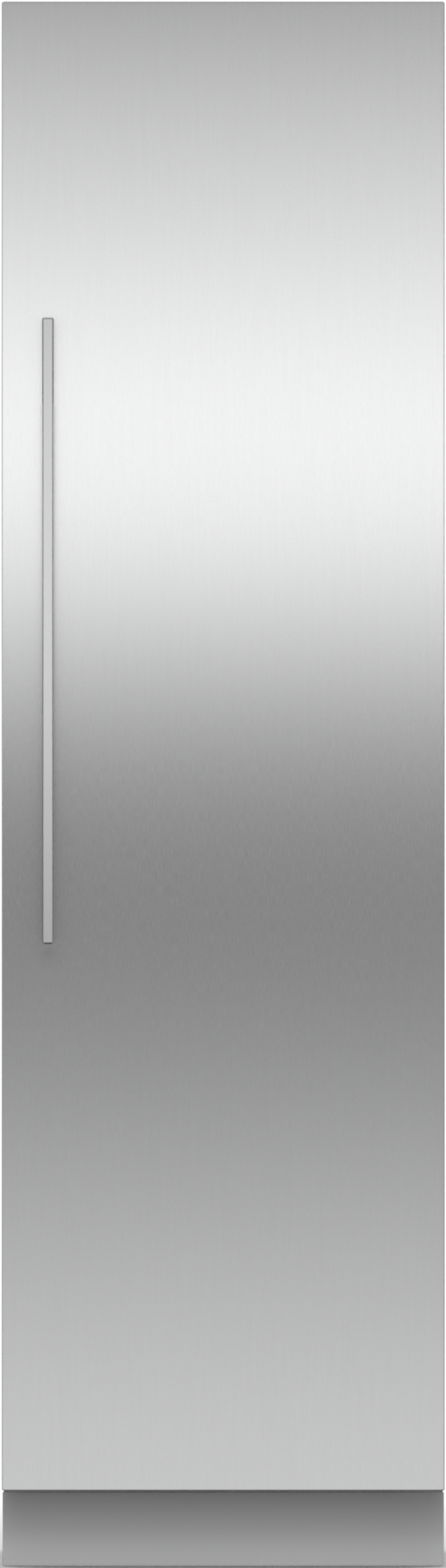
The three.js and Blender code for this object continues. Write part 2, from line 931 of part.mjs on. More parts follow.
// Defrost water tray on the base, behind the condenser.
function drainPan() {
  return cut(
    box([0, 0, 0], [drainPanWidth, drainPanDepth, drainPanHeight]),
    box(
      [plasticWall, plasticWall, plasticWall],
      [
        drainPanWidth - plasticWall,
        drainPanDepth - plasticWall,
        drainPanHeight + cutOverrun,
      ],
    ),
  );
}
piece(cabinet, "drain_pan", drainPan(), blackPlastic, [
  -halfInsideSides + drainPanInsetX,
  insideBackPanelY - drainPanInsetY - drainPanDepth,
  basePanTopZ + fitGap,
]);

// Cold compartment

// Air duct cover on the back wall, open below and behind, with outlet slots for every shelf space.
function ductCover() {
  const shell = cut(
    centredBox(ductHalfWidth, ductFrontY, cavityBackY - fitGap, ductBottomZ, ductTopZ),
    centredBox(
      ductHalfWidth - ductSheet,
      ductInnerFrontY,
      cavityBackY + cutOverrun,
      ductBottomZ - cutOverrun,
      ductTopZ - ductSheet,
    ),
  );
  const slots = [];
  const slotRow = (height, left, width, tall) =>
    box(
      [left, ductFrontY - cutOverrun, height],
      [left + width, ductInnerFrontY + cutOverrun, height + tall],
    );
  for (let i = 1; i <= shelfCount + 1; i += 1) {
    const height = Math.min(lidLevelZ + i * shelfSpacing, ductTopZ) - airSlotDrop;
    slots.push(slotRow(height, -ductHalfWidth + airSlotInset, airSlotWidth, airSlotHeight));
    slots.push(
      slotRow(height, ductHalfWidth - airSlotInset - airSlotWidth, airSlotWidth, airSlotHeight),
    );
  }
  const slotPitch = 2 * fanGrilleSlotHeight;
  for (let i = 0; i < fanGrilleSlots; i += 1) {
    const offset = (i - (fanGrilleSlots - 1) / 2) * slotPitch;
    const half = Math.sqrt(evaporatorFanRadius ** 2 - offset ** 2) - fanGrilleSlotHeight;
    const low = evaporatorFanZ + offset - fanGrilleSlotHeight / 2;
    slots.push(slotRow(low, -half, 2 * half, fanGrilleSlotHeight));
  }
  return cut(shell, ...slots);
}
piece(cabinet, "duct_cover", ductCover(), stainless);

const ductInnerDepth = cavityBackY - fitGap - (ductInnerFrontY + fitGap);
const ductMiddleY = ductInnerFrontY + fitGap + ductInnerDepth / 2;
piece(
  cabinet,
  "evaporator",
  finPack(evaporatorWidth, ductInnerDepth, evaporatorHeight, evaporatorFins),
  aluminium,
  [-evaporatorWidth / 2, ductInnerFrontY + fitGap, evaporatorBottomZ],
);
piece(
  cabinet,
  "evaporator_fan_shroud",
  fanShroud(evaporatorFanRadius + shroudRim, evaporatorFanRadius, ductInnerDepth),
  blackPlastic,
  [0, ductMiddleY, evaporatorFanZ],
);
piece(
  cabinet,
  "evaporator_fan",
  fanRotor(evaporatorFanRadius, rotorDepth(ductInnerDepth)),
  blackPlastic,
  [0, ductMiddleY + rotorOffset(ductInnerDepth), evaporatorFanZ],
);

// Shelf frame: a ring that rests on the liner ribs, with a rebate for the glass.
function shelfTrim(level) {
  const half = halfCavity - shelfSideGap;
  const bottom = level + fitGap;
  const top = bottom + trimHeight;
  return cut(
    centredBox(half, shelfFrontY, shelfBackY, bottom, top),
    centredBox(
      half - trimSide,
      shelfFrontY + trimFront,
      shelfBackY - trimSide,
      bottom - cutOverrun,
      top + cutOverrun,
    ),
    centredBox(
      half - glassSeat,
      shelfFrontY + glassSeat,
      shelfBackY - glassSeat,
      top - glassThickness - fitGap,
      top + cutOverrun,
    ),
  );
}

function shelfGlass(level) {
  const half = halfCavity - shelfSideGap - glassSeat - fitGap;
  const top = level + fitGap + trimHeight;
  return centredBox(
    half,
    shelfFrontY + glassSeat + fitGap,
    shelfBackY - glassSeat - fitGap,
    top - glassThickness,
    top,
  );
}
for (let i = 1; i <= shelfCount; i += 1) {
  const level = lidLevelZ + i * shelfSpacing;
  piece(cabinet, `shelf_trim_${i}`, shelfTrim(level), aluminium);
  piece(cabinet, `glass_shelf_${i}`, shelfGlass(level), glass);
}
piece(
  cabinet,
  "drawer_cover_glass",
  centredBox(
    halfCavity - shelfSideGap,
    shelfFrontY,
    cavityBackY - fitGap,
    lidLevelZ + fitGap,
    lidLevelZ + fitGap + glassThickness,
  ),
  glass,
);

// Light strip against a side wall of the liner, in front of the shelves.
function lightStrip(side) {
  const wall = side * (halfCavity - fitGap);
  const face = side * (halfCavity - fitGap - lightStripThickness);
  const front = behindFrameY + lightStripInset;
  return box(
    [Math.min(wall, face), front, lidLevelZ + lightStripRise],
    [Math.max(wall, face), front + lightStripWidth, cavityTopZ - lightStripDrop],
  );
}
piece(cabinet, "light_strip_left", lightStrip(-1), clearPlastic);
piece(cabinet, "light_strip_right", lightStrip(1), clearPlastic);
piece(
  cabinet,
  "control_panel",
  centredBox(
    controlPanelWidth / 2,
    behindFrameY + controlPanelInset,
    behindFrameY + controlPanelInset + controlPanelDepth,
    cavityTopZ - fitGap - controlPanelHeight,
    cavityTopZ - fitGap,
  ),
  blackPlastic,
);

// Drawers and their runners

// Height of the underside of a drawer's rim, which rides on the runner ledge.
function rimBottom(drawerZ) {
  return drawerZ + drawerHeight - drawerRimThickness;
}

// Runner carrier on one side wall, with a ledge under the rim of each drawer.
function drawerRunner(side) {
  const wall = side * (halfCavity - fitGap);
  const plateFace = side * (halfCavity - fitGap - runnerPlate);
  const ledgeTip = side * (drawerOuterHalf - runnerLedgeOverlap);
  const front = drawerFrontY + runnerFrontInset;
  const plate = box(
    [Math.min(wall, plateFace), front, cavityFloorZ + fitGap],
    [Math.max(wall, plateFace), drawerBackY, lidLevelZ - ribHeight - fitGap],
  );
  const ledges = [lowerDrawerZ, upperDrawerZ].map((drawerZ) => {
    const top = rimBottom(drawerZ) - fitGap;
    return box(
      [Math.min(wall, ledgeTip), front, top - runnerLedge],
      [Math.max(wall, ledgeTip), drawerBackY, top],
    );
  });
  return join(plate, ...ledges);
}
piece(cabinet, "drawer_runner_left", drawerRunner(-1), whitePlastic);
piece(cabinet, "drawer_runner_right", drawerRunner(1), whitePlastic);

const sliderGrooveLeft = -(sliderTravel + sliderWidth) / 2;
const sliderZ = upperDrawerZ + drawerHeight - sliderDrop;

// Clear drawer with a thick front, side rims and a finger scoop in the front's top edge.
function drawer(drawerZ) {
  const top = drawerZ + drawerHeight;
  const behindFront = drawerFrontY + drawerFrontThickness;
  const tub = centredBox(drawerHalfWidth, drawerFrontY, drawerBackY, drawerZ, top);
  const rims = centredBox(drawerOuterHalf, behindFront, drawerBackY, rimBottom(drawerZ), top);
  const front = centredBox(
    drawerOuterHalf,
    drawerFrontY,
    behindFront,
    drawerZ - drawerFrontDrop,
    top,
  );
  const inside = centredBox(
    drawerHalfWidth - plasticWall,
    behindFront,
    drawerBackY - plasticWall,
    drawerZ + plasticWall,
    top + cutOverrun,
  );
  const scoop = centredBox(
    drawerGripWidth / 2,
    drawerFrontY + drawerFrontThickness / 2,
    behindFront + cutOverrun,
    top - drawerGripHeight,
    top + cutOverrun,
  );
  return cut(join(tub, rims, front), inside, scoop);
}

// Groove across the upper drawer's front, which the humidity slider runs in.
function sliderGroove() {
  return box(
    [sliderGrooveLeft - fitGap, drawerFrontY - cutOverrun, sliderZ - sliderHeight / 2 - fitGap],
    [
      sliderGrooveLeft + sliderTravel + sliderWidth + fitGap,
      drawerFrontY + sliderGrooveDepth,
      sliderZ + sliderHeight / 2 + fitGap,
    ],
  );
}
piece(cabinet, "lower_drawer", drawer(lowerDrawerZ), clearPlastic);
piece(cabinet, "upper_drawer", cut(drawer(upperDrawerZ), sliderGroove()), clearPlastic);
piece(
  cabinet,
  "humidity_slider",
  box(
    [sliderGrooveLeft, drawerFrontY - sliderProud, sliderZ - sliderHeight / 2],
    [
      sliderGrooveLeft + sliderWidth,
      drawerFrontY + sliderGrooveDepth - fitGap,
      sliderZ + sliderHeight / 2,
    ],
  ),
  whitePlastic,
);

// Hinges

// Hinge plate outline: a round nose about the pin, and a tail that runs back to the cabinet.
function hingeOutline(tail) {
  const shape = new THREE.Shape();
  shape.moveTo(0, hingeNose);
  shape.absarc(0, 0, hingeNose, Math.PI / 2, -Math.PI, true);
  shape.lineTo(-hingeArmWidth, cabinetFrontY - pivotY - hingeLegThickness);
  shape.lineTo(-hingeArmWidth, tail);
  shape.lineTo(0, tail);
  return shape;
}

function pinHole(bottom, top) {
  const radius = hingePinRadius + fitGap;
  return rod("z", radius, bottom - cutOverrun, top + cutOverrun, [pivotX, pivotY]);
}

const topPlateZ = cabinetTopZ + fitGap;
const topPlateTopZ = topPlateZ + hingePlateThickness;
const bottomPlateTopZ = doorShellBottomZ - hingeRunningGap - fitGap;
const bottomPlateZ = bottomPlateTopZ - hingePlateThickness;

function topHingePlate() {
  const tail = cabinetFrontY - pivotY + hingeTail;
  const plate = raised(hingeOutline(tail), topPlateZ, topPlateTopZ, roundSides / 2);
  plate.translate(pivotX, pivotY, 0);
  return cut(plate, pinHole(topPlateZ, topPlateTopZ));
}

// The lower plate turns up against the front frame.
function bottomHingePlate() {
  const legBack = cabinetFrontY - fitGap;
  const plate = raised(
    hingeOutline(legBack - pivotY),
    bottomPlateZ,
    bottomPlateTopZ,
    roundSides / 2,
  );
  plate.translate(pivotX, pivotY, 0);
  const leg = box(
    [pivotX - hingeArmWidth, legBack - hingeLegThickness, bottomPlateZ],
    [pivotX, legBack, bottomPlateZ + hingeFrontLeg],
  );
  return cut(join(plate, leg), pinHole(bottomPlateZ, bottomPlateTopZ));
}
piece(cabinet, "top_hinge_plate", topHingePlate(), zincSteel);
piece(cabinet, "bottom_hinge_plate", bottomHingePlate(), zincSteel);

// Headed pin, drawn with its head at zero and its shank going up.
function hingePin(length) {
  const profile = [
    [0, -hingePinHead],
    [hingePinHeadRadius, -hingePinHead],
    [hingePinHeadRadius, 0],
    [hingePinRadius, 0],
    [hingePinRadius, length],
    [0, length],
  ];
  const points = profile.map(([radius, height]) => new THREE.Vector2(radius, height));
  return new THREE.LatheGeometry(points, roundSides).rotateX(Math.PI / 2);
}
const pinReach = fitGap + hingePlateThickness + hingeRunningGap + steelSheet + capDepth * 0.8;
piece(cabinet, "top_hinge_pin", hingePin(pinReach).rotateX(Math.PI), zincSteel, [
  pivotX,
  pivotY,
  topPlateTopZ + fitGap,
]);
piece(cabinet, "bottom_hinge_pin", hingePin(pinReach), zincSteel, [
  pivotX,
  pivotY,
  bottomPlateZ - fitGap,
]);

// Door

// Folded stainless panel: a thin pan with lips along its back.
function doorPanel() {
  const half = doorPanelWidth / 2;
  const pan = uprightPlate(
    half,
    panelFrontY,
    panelBackY,
    doorBottomZ,
    overallHeight,
    panelCornerRadius,
    panelEdgeRadius,
  );
  const pocket = centredBox(
    half - steelSheet,
    panelFrontY + steelSheet,
    panelBackY - steelSheet,
    doorBottomZ + steelSheet,
    overallHeight - steelSheet,
  );
  const mouth = centredBox(
    half - panelLip,
    panelBackY - steelSheet - cutOverrun,
    panelBackY + cutOverrun,
    doorBottomZ + panelLip,
    overallHeight - panelLip,
  );
  return cut(pan, pocket, mouth);
}
piece(door, "door_panel", doorPanel(), stainless);
const coreInset = steelSheet + fitGap;
piece(
  door,
  "panel_core",
  centredBox(
    doorPanelWidth / 2 - coreInset,
    panelFrontY + coreInset,
    panelBackY - coreInset,
    doorBottomZ + coreInset,
    overallHeight - coreInset,
  ),
  board,
);

// Painted pan of the insulated door, with a round hole over each hinge bush.
function doorShell() {
  const pan = centredBox(
    doorShellHalf,
    doorShellFrontY,
    doorShellBackY,
    doorShellBottomZ,
    doorShellTopZ,
  );
  const inside = centredBox(
    doorShellHalf - steelSheet,
    doorShellFrontY + steelSheet,
    doorShellBackY + cutOverrun,
    doorShellBottomZ + steelSheet,
    doorShellTopZ - steelSheet,
  );
  const holes = [doorShellBottomZ, doorShellTopZ].map((level) =>
    rod("z", capCollarRadius + fitGap, level - cutOverrun, level + cutOverrun, [pivotX, pivotY]),
  );
  return cut(pan, inside, ...holes);
}
piece(door, "door_shell", doorShell(), paintedSteel);

const foamInset = steelSheet + fitGap;
const capBlock = {
  left: pivotX - capLeft,
  right: pivotX + capRight,
  front: doorShellFrontY + foamInset,
  back: pivotY + capBack,
};

// Bush block inside the shell, drawn from the inner face of the shell's end wall inwards.
function doorCap(wallZ, direction) {
  const near = wallZ - direction * foamInset;
  const far = near - direction * capDepth;
  const plateFace = wallZ + direction * hingeRunningGap;
  const block = box(
    [capBlock.left, capBlock.front, Math.min(near, far)],
    [capBlock.right, capBlock.back, Math.max(near, far)],
  );
  const collar = rod(
    "z",
    capCollarRadius,
    Math.min(near - direction * capDepth / 2, plateFace),
    Math.max(near - direction * capDepth / 2, plateFace),
    [pivotX, pivotY],
  );
  const boreLow = Math.min(far, plateFace) - cutOverrun;
  const boreHigh = Math.max(far, plateFace) + cutOverrun;
  const bore = rod("z", hingePinRadius + hingeBoreGap, boreLow, boreHigh, [pivotX, pivotY]);
  return cut(join(block, collar), bore);
}
piece(door, "door_cap_top", doorCap(doorShellTopZ, 1), whitePlastic);
piece(door, "door_cap_bottom", doorCap(doorShellBottomZ, -1), whitePlastic);

// The raised dyke on the door's inner face, as a ring set in from the outer size by a skin.
function dykeRing(skin, front) {
  return uprightRing(
    dyke.half - skin,
    dyke.bottomZ + skin,
    dyke.topZ - skin,
    dykeWidth - 2 * skin,
    front,
    dyke.backY - skin,
  );
}

function doorFoam() {
  const capSpace = [
    [doorShellTopZ, 1],
    [doorShellBottomZ, -1],
  ].map(([wallZ, direction]) => {
    const near = wallZ - direction * (foamInset - cutOverrun);
    const far = wallZ - direction * (foamInset + capDepth + fitGap);
    return box(
      [capBlock.left - fitGap, capBlock.front - cutOverrun, Math.min(near, far)],
      [capBlock.right + fitGap, capBlock.back + fitGap, Math.max(near, far)],
    );
  });
  const slab = centredBox(
    doorShellHalf - foamInset,
    doorShellFrontY + foamInset,
    doorShellBackY,
    doorShellBottomZ + foamInset,
    doorShellTopZ - foamInset,
  );
  const ridge = dykeRing(doorLinerThickness + fitGap, doorShellBackY - cutOverrun);
  return cut(join(slab, ridge), ...capSpace);
}
piece(door, "door_foam", doorFoam(), foam);

// Formed inner skin of the door: a flat flange, the hollow dyke, and lugs that carry the bins.
function doorLiner() {
  const sheet = centredBox(
    doorShellHalf,
    doorBackY - doorLinerThickness,
    doorBackY,
    doorShellBottomZ,
    doorShellTopZ,
  );
  const outside = dykeRing(0, doorBackY - doorLinerThickness);
  const hollow = dykeRing(doorLinerThickness, doorBackY - doorLinerThickness - cutOverrun);
  const innerFace = dyke.half - dykeWidth;
  const lugs = [];
  for (let i = 0; i < binCount; i += 1) {
    const top = lowestBinZ + i * binSpacing - fitGap;
    for (const side of [-1, 1]) {
      const root = side * (innerFace + doorLinerThickness / 2);
      const tip = side * (innerFace - binLugReach);
      lugs.push(
        box(
          [Math.min(root, tip), doorBackY - doorLinerThickness / 2, top - binLugHeight],
          [Math.max(root, tip), doorBackY + binLugDepth, top],
        ),
      );
    }
  }
  return join(cut(join(sheet, outside), hollow), ...lugs);
}
piece(door, "door_liner", doorLiner(), whitePlastic);

// Magnetic seal: a wide foot on the door and a narrower bulb against the front frame.
function doorGasket() {
  const outer = halfCavity + gasketInset + gasketWidth;
  const reach = gasketInset + gasketWidth;
  const bottom = cavityFloorZ - reach;
  const top = cavityTopZ + reach;
  const footBack = doorBackY + fitGap + gasketFoot;
  const foot = uprightRing(outer, bottom, top, gasketWidth, doorBackY + fitGap, footBack);
  const step = (gasketWidth - gasketBulbWidth) / 2;
  const bulb = uprightRing(
    outer - step,
    bottom + step,
    top - step,
    gasketBulbWidth,
    footBack - gasketFoot / 2,
    cabinetFrontY - fitGap,
  );
  return join(foot, bulb);
}
piece(door, "door_gasket", doorGasket(), paleRubber);

// Open-topped bin between the dykes, resting on the lugs.
function doorBin(level) {
  const half = dyke.half - dykeWidth - fitGap;
  const front = doorBackY + fitGap;
  const back = doorBackY + binReach;
  return cut(
    centredBox(half, front, back, level, level + binHeight),
    centredBox(
      half - binWall,
      front + binWall,
      back - binWall,
      level + binWall,
      level + binHeight + cutOverrun,
    ),
  );
}
for (let i = 0; i < binCount; i += 1) {
  piece(door, `door_bin_${i + 1}`, doorBin(lowestBinZ + i * binSpacing), clearPlastic);
}

// Handle

// A slim upright bar with round edges and eased ends.
function handleBar() {
  const half = handleBarWidth / 2 - handleEndEdge;
  const outline = roundedRectangle(
    handleCentreX - half,
    handleFrontY + handleEndEdge,
    handleCentreX + half,
    handleFrontY + handleBarDepth - handleEndEdge,
    handleBarEdge - handleEndEdge,
  );
  const top = handleTopZ - handleTopMountRise;
  return new THREE.ExtrudeGeometry(outline, {
    depth: top - handleBottomZ - 2 * handleEndEdge,
    bevelThickness: handleEndEdge,
    bevelSize: handleEndEdge,
    bevelSegments: 2,
    curveSegments: 3,
  }).translate(0, 0, handleBottomZ + handleEndEdge);
}
piece(door, "handle_bar", handleBar(), satinHandle);

// A leg between the door panel and the bar, with round corners seen from the front.
function handleMount(width, bottom, top) {
  const left = handleCentreX - width / 2;
  const outline = roundedRectangle(left, bottom, left + width, top, handleMountCorner);
  const front = handleFrontY + handleBarDepth + fitGap;
  const back = panelFrontY - fitGap;
  return raised(outline, -back, -front).rotateX(Math.PI / 2);
}
piece(
  door,
  "handle_top_mount",
  handleMount(handleTopMountWidth, handleTopZ - handleTopMountLength, handleTopZ),
  satinHandle,
);
const bottomMountZ = handleBottomZ + handleBottomMountInset;
piece(
  door,
  "handle_bottom_mount",
  handleMount(handleBottomMountWidth, bottomMountZ, bottomMountZ + handleBottomMountLength),
  satinHandle,
);

export default refrigerator;
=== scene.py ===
"""Looks of a built-in column refrigerator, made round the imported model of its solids.

Shapes are worked out in millimetres and go into the meshes in metres. The floor, lights, camera and
materials are in metres. +Z is up, the front faces -Y, and the origin is on the floor, under the
middle.
"""

import json
import math

import bmesh
import bpy
import numpy as np
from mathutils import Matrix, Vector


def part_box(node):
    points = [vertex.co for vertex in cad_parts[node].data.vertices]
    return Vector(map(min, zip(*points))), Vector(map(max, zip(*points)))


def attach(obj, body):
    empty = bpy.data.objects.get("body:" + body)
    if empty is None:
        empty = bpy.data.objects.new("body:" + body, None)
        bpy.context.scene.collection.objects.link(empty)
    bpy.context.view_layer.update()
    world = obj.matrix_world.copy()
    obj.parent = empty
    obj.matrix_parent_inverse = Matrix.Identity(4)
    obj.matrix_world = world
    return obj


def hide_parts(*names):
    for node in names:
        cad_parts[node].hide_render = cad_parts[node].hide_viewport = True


MM = 0.001
LEAST_RADIUS = 0.2
PIPE_SIDES = 12
AXES = {"xz": [0, 2, 1], "xy": [0, 1, 2], "yz": [1, 2, 0]}

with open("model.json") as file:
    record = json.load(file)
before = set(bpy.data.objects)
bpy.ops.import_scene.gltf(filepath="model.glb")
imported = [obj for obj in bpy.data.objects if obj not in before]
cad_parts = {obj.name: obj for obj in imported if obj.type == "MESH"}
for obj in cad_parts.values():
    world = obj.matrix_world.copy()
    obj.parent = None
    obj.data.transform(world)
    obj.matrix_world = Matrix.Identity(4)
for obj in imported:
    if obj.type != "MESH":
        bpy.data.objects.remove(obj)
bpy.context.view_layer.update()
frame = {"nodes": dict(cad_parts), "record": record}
nodes = frame["nodes"]
scene = bpy.context.scene
body_of = {
    node: body
    for body, members in frame["record"]["behaviour"]["bodies"].items()
    for node in members
}


# Shapes


def corners_of(node):
    """The lowest and highest corner of a solid."""
    low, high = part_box(node)
    return np.array(low) / MM, np.array(high) / MM


def rounded_chain(corners, steps=4):
    """A chain of straight lines between corners (u, v, radius), each rounded by an arc.

    At a corner P with unit directions a and b towards its neighbours, and half angle h between
    these, the arc of radius r has its centre at P + (a + b) / |a + b| * r / sin h, and runs from
    P + a * r / tan h to P + b * r / tan h. A corner of radius 0 stays a point. The ends of an open
    chain are such corners.
    """
    corners = np.asarray(corners, float)
    places, parts = corners[:, :2], []
    for before, corner, after, radius in zip(
        np.roll(places, 1, 0), places, np.roll(places, -1, 0), corners[:, 2]
    ):
        if radius == 0:
            parts.append(corner[None])
            continue
        a, b = before - corner, after - corner
        a, b = a / np.linalg.norm(a), b / np.linalg.norm(b)
        half = 0.5 * math.acos(np.clip(a @ b, -1, 1))
        centre = corner + (a + b) / np.linalg.norm(a + b) * radius / math.sin(half)
        start = corner + a * radius / math.tan(half) - centre
        end = corner + b * radius / math.tan(half) - centre
        turn = math.atan2(start[0] * end[1] - start[1] * end[0], start @ end)
        angle = math.atan2(start[1], start[0]) + np.linspace(0, turn, steps + 1)
        parts.append(centre + radius * np.stack([np.cos(angle), np.sin(angle)], 1))
    return np.concatenate(parts)


def mirrored(half, axis, middle):
    """Corners (u, v, radius), then their mirror image about u or v = middle, back to the start."""
    half = np.asarray(half, float)
    other = half[::-1].copy()
    other[:, axis] = 2 * middle - other[:, axis]
    return np.concatenate([half, other])


def placed(u, v, depth, plane):
    """Points whose first two coordinates lie in the named plane and whose third goes across it."""
    points = np.empty(np.broadcast(u, v, depth).shape + (3,))
    for axis, values in zip(AXES[plane], (u, v, depth)):
        points[..., axis] = values
    return points


def polar(centre, radius, angle, depth, plane="xy"):
    """Points at centre + radius * (cos angle, sin angle) in a plane, and at a depth across it."""
    u, v = centre[0] + radius * np.cos(angle), centre[1] + radius * np.sin(angle)
    return placed(u, v, depth, plane)


def full_circle(sides):
    """The angles of equal steps round a circle."""
    return np.arange(sides) * 2 * math.pi / sides


def rectangle_rings(low, high, radius, chain, plane, steps):
    """A profile carried round a rectangle with round corners.

    A profile point (inset, depth) gives one ring: the rectangle from low to high drawn in by inset,
    with corner radius radius - inset, set at depth. On it the angle a of a corner goes to the
    corner's centre plus its radius times (cos a, sin a).
    """
    inset, depth = np.asarray(chain, float).T[:, :, None]
    low = np.asarray(low, float)[AXES[plane][:2]] + inset
    high = np.asarray(high, float)[AXES[plane][:2]] - inset
    bend = np.maximum(radius - inset, LEAST_RADIUS)
    angle = np.linspace(0, math.pi / 2, steps + 1)
    turn = (np.arange(4)[:, None] * math.pi / 2 + angle).ravel()
    right = np.repeat([True, False, False, True], steps + 1)
    upper = np.repeat([True, True, False, False], steps + 1)
    u = np.where(right, high[:, :1] - bend, low[:, :1] + bend) + bend * np.cos(turn)
    v = np.where(upper, high[:, 1:] - bend, low[:, 1:] + bend) + bend * np.sin(turn)
    return placed(u, v, depth, plane)


def closed_shell(rings, loop=False):
    """Rings of points as a closed shell, with flat caps unless the last ring joins the first.

    It is the points and blocks of faces, each block an array with a face in a row. The faces point
    outwards: where the sum of a · (b × c) over their triangles is negative, all turn.
    """
    rows, columns = rings.shape[:2]
    row, column = np.meshgrid(
        np.arange(rows if loop else rows - 1), np.arange(columns), indexing="ij"
    )
    here, after = row * columns, (row + 1) % rows * columns
    beside = (column + 1) % columns
    quads = np.stack([here + column, here + beside, after + beside, after + column], -1)
    ring = np.arange(columns)[None]
    caps = [] if loop else [ring[:, ::-1], ring + (rows - 1) * columns]
    blocks = [quads.reshape(-1, 4), *caps]
    points = rings.reshape(-1, 3)
    volume = sum(
        np.sum(points[block[:, :1]] * np.cross(points[block[:, 1:-1]], points[block[:, 2:]]))
        for block in blocks
    )
    return points, blocks if volume > 0 else [block[:, ::-1] for block in blocks]


def carried_round(low, high, radius, chain, plane="xz", steps=5, loop=False):
    """A profile of (inset, depth) carried round a rectangle, as a closed shell."""
    return closed_shell(rectangle_rings(low, high, radius, chain, plane, steps), loop)


def tub(low, high, corner, wall, profile, steps=4):
    """A tub: its profile goes from under its foot over the rim and down inside to the bottom.

    Both ends run on to the flat middle, at the foot's level and a wall's thickness above it.
    """
    middle, bottom = 30, profile[0][1]
    ends = (middle, bottom, 0), (middle, bottom + wall, 0)
    chain = rounded_chain([ends[0], *profile, ends[1]], steps)
    return carried_round(low, high, corner, chain, "xy", 6)


def turned(chain, centre, sides, plane="xy", loop=False):
    """A profile turned about a line: (radius, depth) goes to a circle of that radius and depth."""
    radius, depth = np.asarray(chain, float).T[:, :, None]
    return closed_shell(polar(centre, radius, full_circle(sides), depth, plane), loop)


def tube(path, radius, across):
    """A round tube: a circle at each path point, in the plane of across and of path × across."""
    path, across = np.asarray(path, float), np.asarray(across, float)
    side = np.cross(np.gradient(path, axis=0), across)
    side /= np.linalg.norm(side, axis=1, keepdims=True)
    angle = full_circle(PIPE_SIDES)[None, :, None]
    rings = path[:, None] + radius * (np.cos(angle) * side[:, None] + np.sin(angle) * across)
    return closed_shell(rings)


def eased_block(start, end, edge, plane="xz", steps=2, corner=None):
    """A block between two opposite corners, with rounded edges.

    The edges across the plane are rounded by corner, or else like the others by edge.
    """
    low, high = np.sort([start, end], axis=0)
    across = AXES[plane][2]
    near, far = low[across], high[across]
    inner = 1.2 * edge  # the flat caps begin a little inside the rounding
    chain = rounded_chain(
        [(inner, near, 0), (0, near, edge), (0, far, edge), (inner, far, 0)], steps
    )
    return carried_round(low, high, corner or edge, chain, plane, max(steps, 3))


def extruded(outline, left, right):
    """A closed outline of (y, z) points, carried across from left to right."""
    u, v = np.asarray(outline, float).T
    return closed_shell(placed(u, v, np.array([left, right])[:, None], "yz"))


def linked(name, data):
    """A new object in the scene."""
    made = bpy.data.objects.new(name, data)
    scene.collection.objects.link(made)
    return made


def finished_object(name, mesh, finish, node, stands_in, sharp):
    """A mesh as a piece that moves with a solid, and may stand in for it.

    It is smooth but for edges sharper than an angle in degrees.
    """
    mesh.materials.clear()
    mesh.materials.append(finish)
    mesh.shade_smooth()
    mesh.set_sharp_from_angle(angle=math.radians(sharp))
    made = linked(name, mesh)
    flats = made.modifiers.new("flat faces stay flat", "WEIGHTED_NORMAL")
    flats.keep_sharp = True
    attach(made, body_of[node])
    if stands_in:
        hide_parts(node)
    return made


def make_piece(name, shells, finish, node, sharp=32, stands_in=True):
    """One piece of closed shells, in place of a solid."""
    points, faces, count = [], [], 0
    for shell_points, blocks in shells:
        points.append(shell_points)
        for block in blocks:
            faces += (block + count).tolist()
        count += len(shell_points)
    mesh = bpy.data.meshes.new(name)
    mesh.from_pydata((np.concatenate(points) * MM).tolist(), [], faces)
    finished_object(name, mesh, finish, node, stands_in, sharp)


def add_detail(name, shells, finish, node, sharp=32):
    """A piece that no solid stands for, on the solid that carries it."""
    make_piece(name, shells, finish, node, sharp, stands_in=False)


def eased_solid(node, ease, finish):
    """A solid again with its edges eased: its triangles are joined and its sharp edges bevelled."""
    same_point, still_flat, bevelled_from = 0.01 * MM, math.radians(0.5), math.radians(40)
    mesh = nodes[node].data.copy()
    work = bmesh.new()
    work.from_mesh(mesh)
    bmesh.ops.remove_doubles(work, verts=work.verts, dist=same_point)
    bmesh.ops.dissolve_limit(work, angle_limit=still_flat, verts=work.verts, edges=work.edges)
    work.to_mesh(mesh)
    work.free()
    made = finished_object(node + "_eased", mesh, finish, node, stands_in=True, sharp=30)
    bevel = made.modifiers.new("ease", "BEVEL")
    made.modifiers.move(1, 0)  # before the modifier that keeps flat faces flat
    bevel.width = ease * MM
    bevel.segments = 2
    bevel.limit_method = "ANGLE"
    bevel.angle_limit = bevelled_from
    bevel.harden_normals = True
    return made


def dress(finish, *names):
    """Gives solids that stay as they are their finish."""
    for name in names:
        nodes[name].data.materials.clear()
        nodes[name].data.materials.append(finish)


# Effects that several finishes share


def put(tree, kind, settings=None, inputs=None):
    """A shader node with its settings. Its inputs get values, or are joined to other nodes."""
    made = tree.nodes.new("ShaderNode" + kind)
    for name, value in (settings or {}).items():
        setattr(made, name, value)
    for name, value in (inputs or {}).items():
        if isinstance(value, bpy.types.NodeSocket):
            tree.links.new(value, made.inputs[name])
        else:
            made.inputs[name].default_value = value
    return made


def maths(tree, operation, *values):
    """The result of a Math node."""
    return put(tree, "Math", {"operation": operation}, dict(enumerate(values))).outputs[0]


def on_object(tree):
    """The place of a point of the surface, in metres."""
    return put(tree, "TexCoord").outputs["Object"]


def noise(tree, place, cells, detail, harshness=0.5):
    """Noise with a number of cells in a metre, or in a unit of the place given."""
    values = {"Vector": place, "Scale": cells, "Detail": detail, "Roughness": harshness}
    return put(tree, "TexNoise", None, values).outputs


def smooth_step(tree, value, start, end, before, after):
    """A number that goes smoothly from before to after while the value goes from start to end."""
    ends = {"From Min": start, "From Max": end, "To Min": before, "To Max": after}
    smooth = {"interpolation_type": "SMOOTHSTEP"}
    return put(tree, "MapRange", smooth, {"Value": value, **ends}).outputs[0]


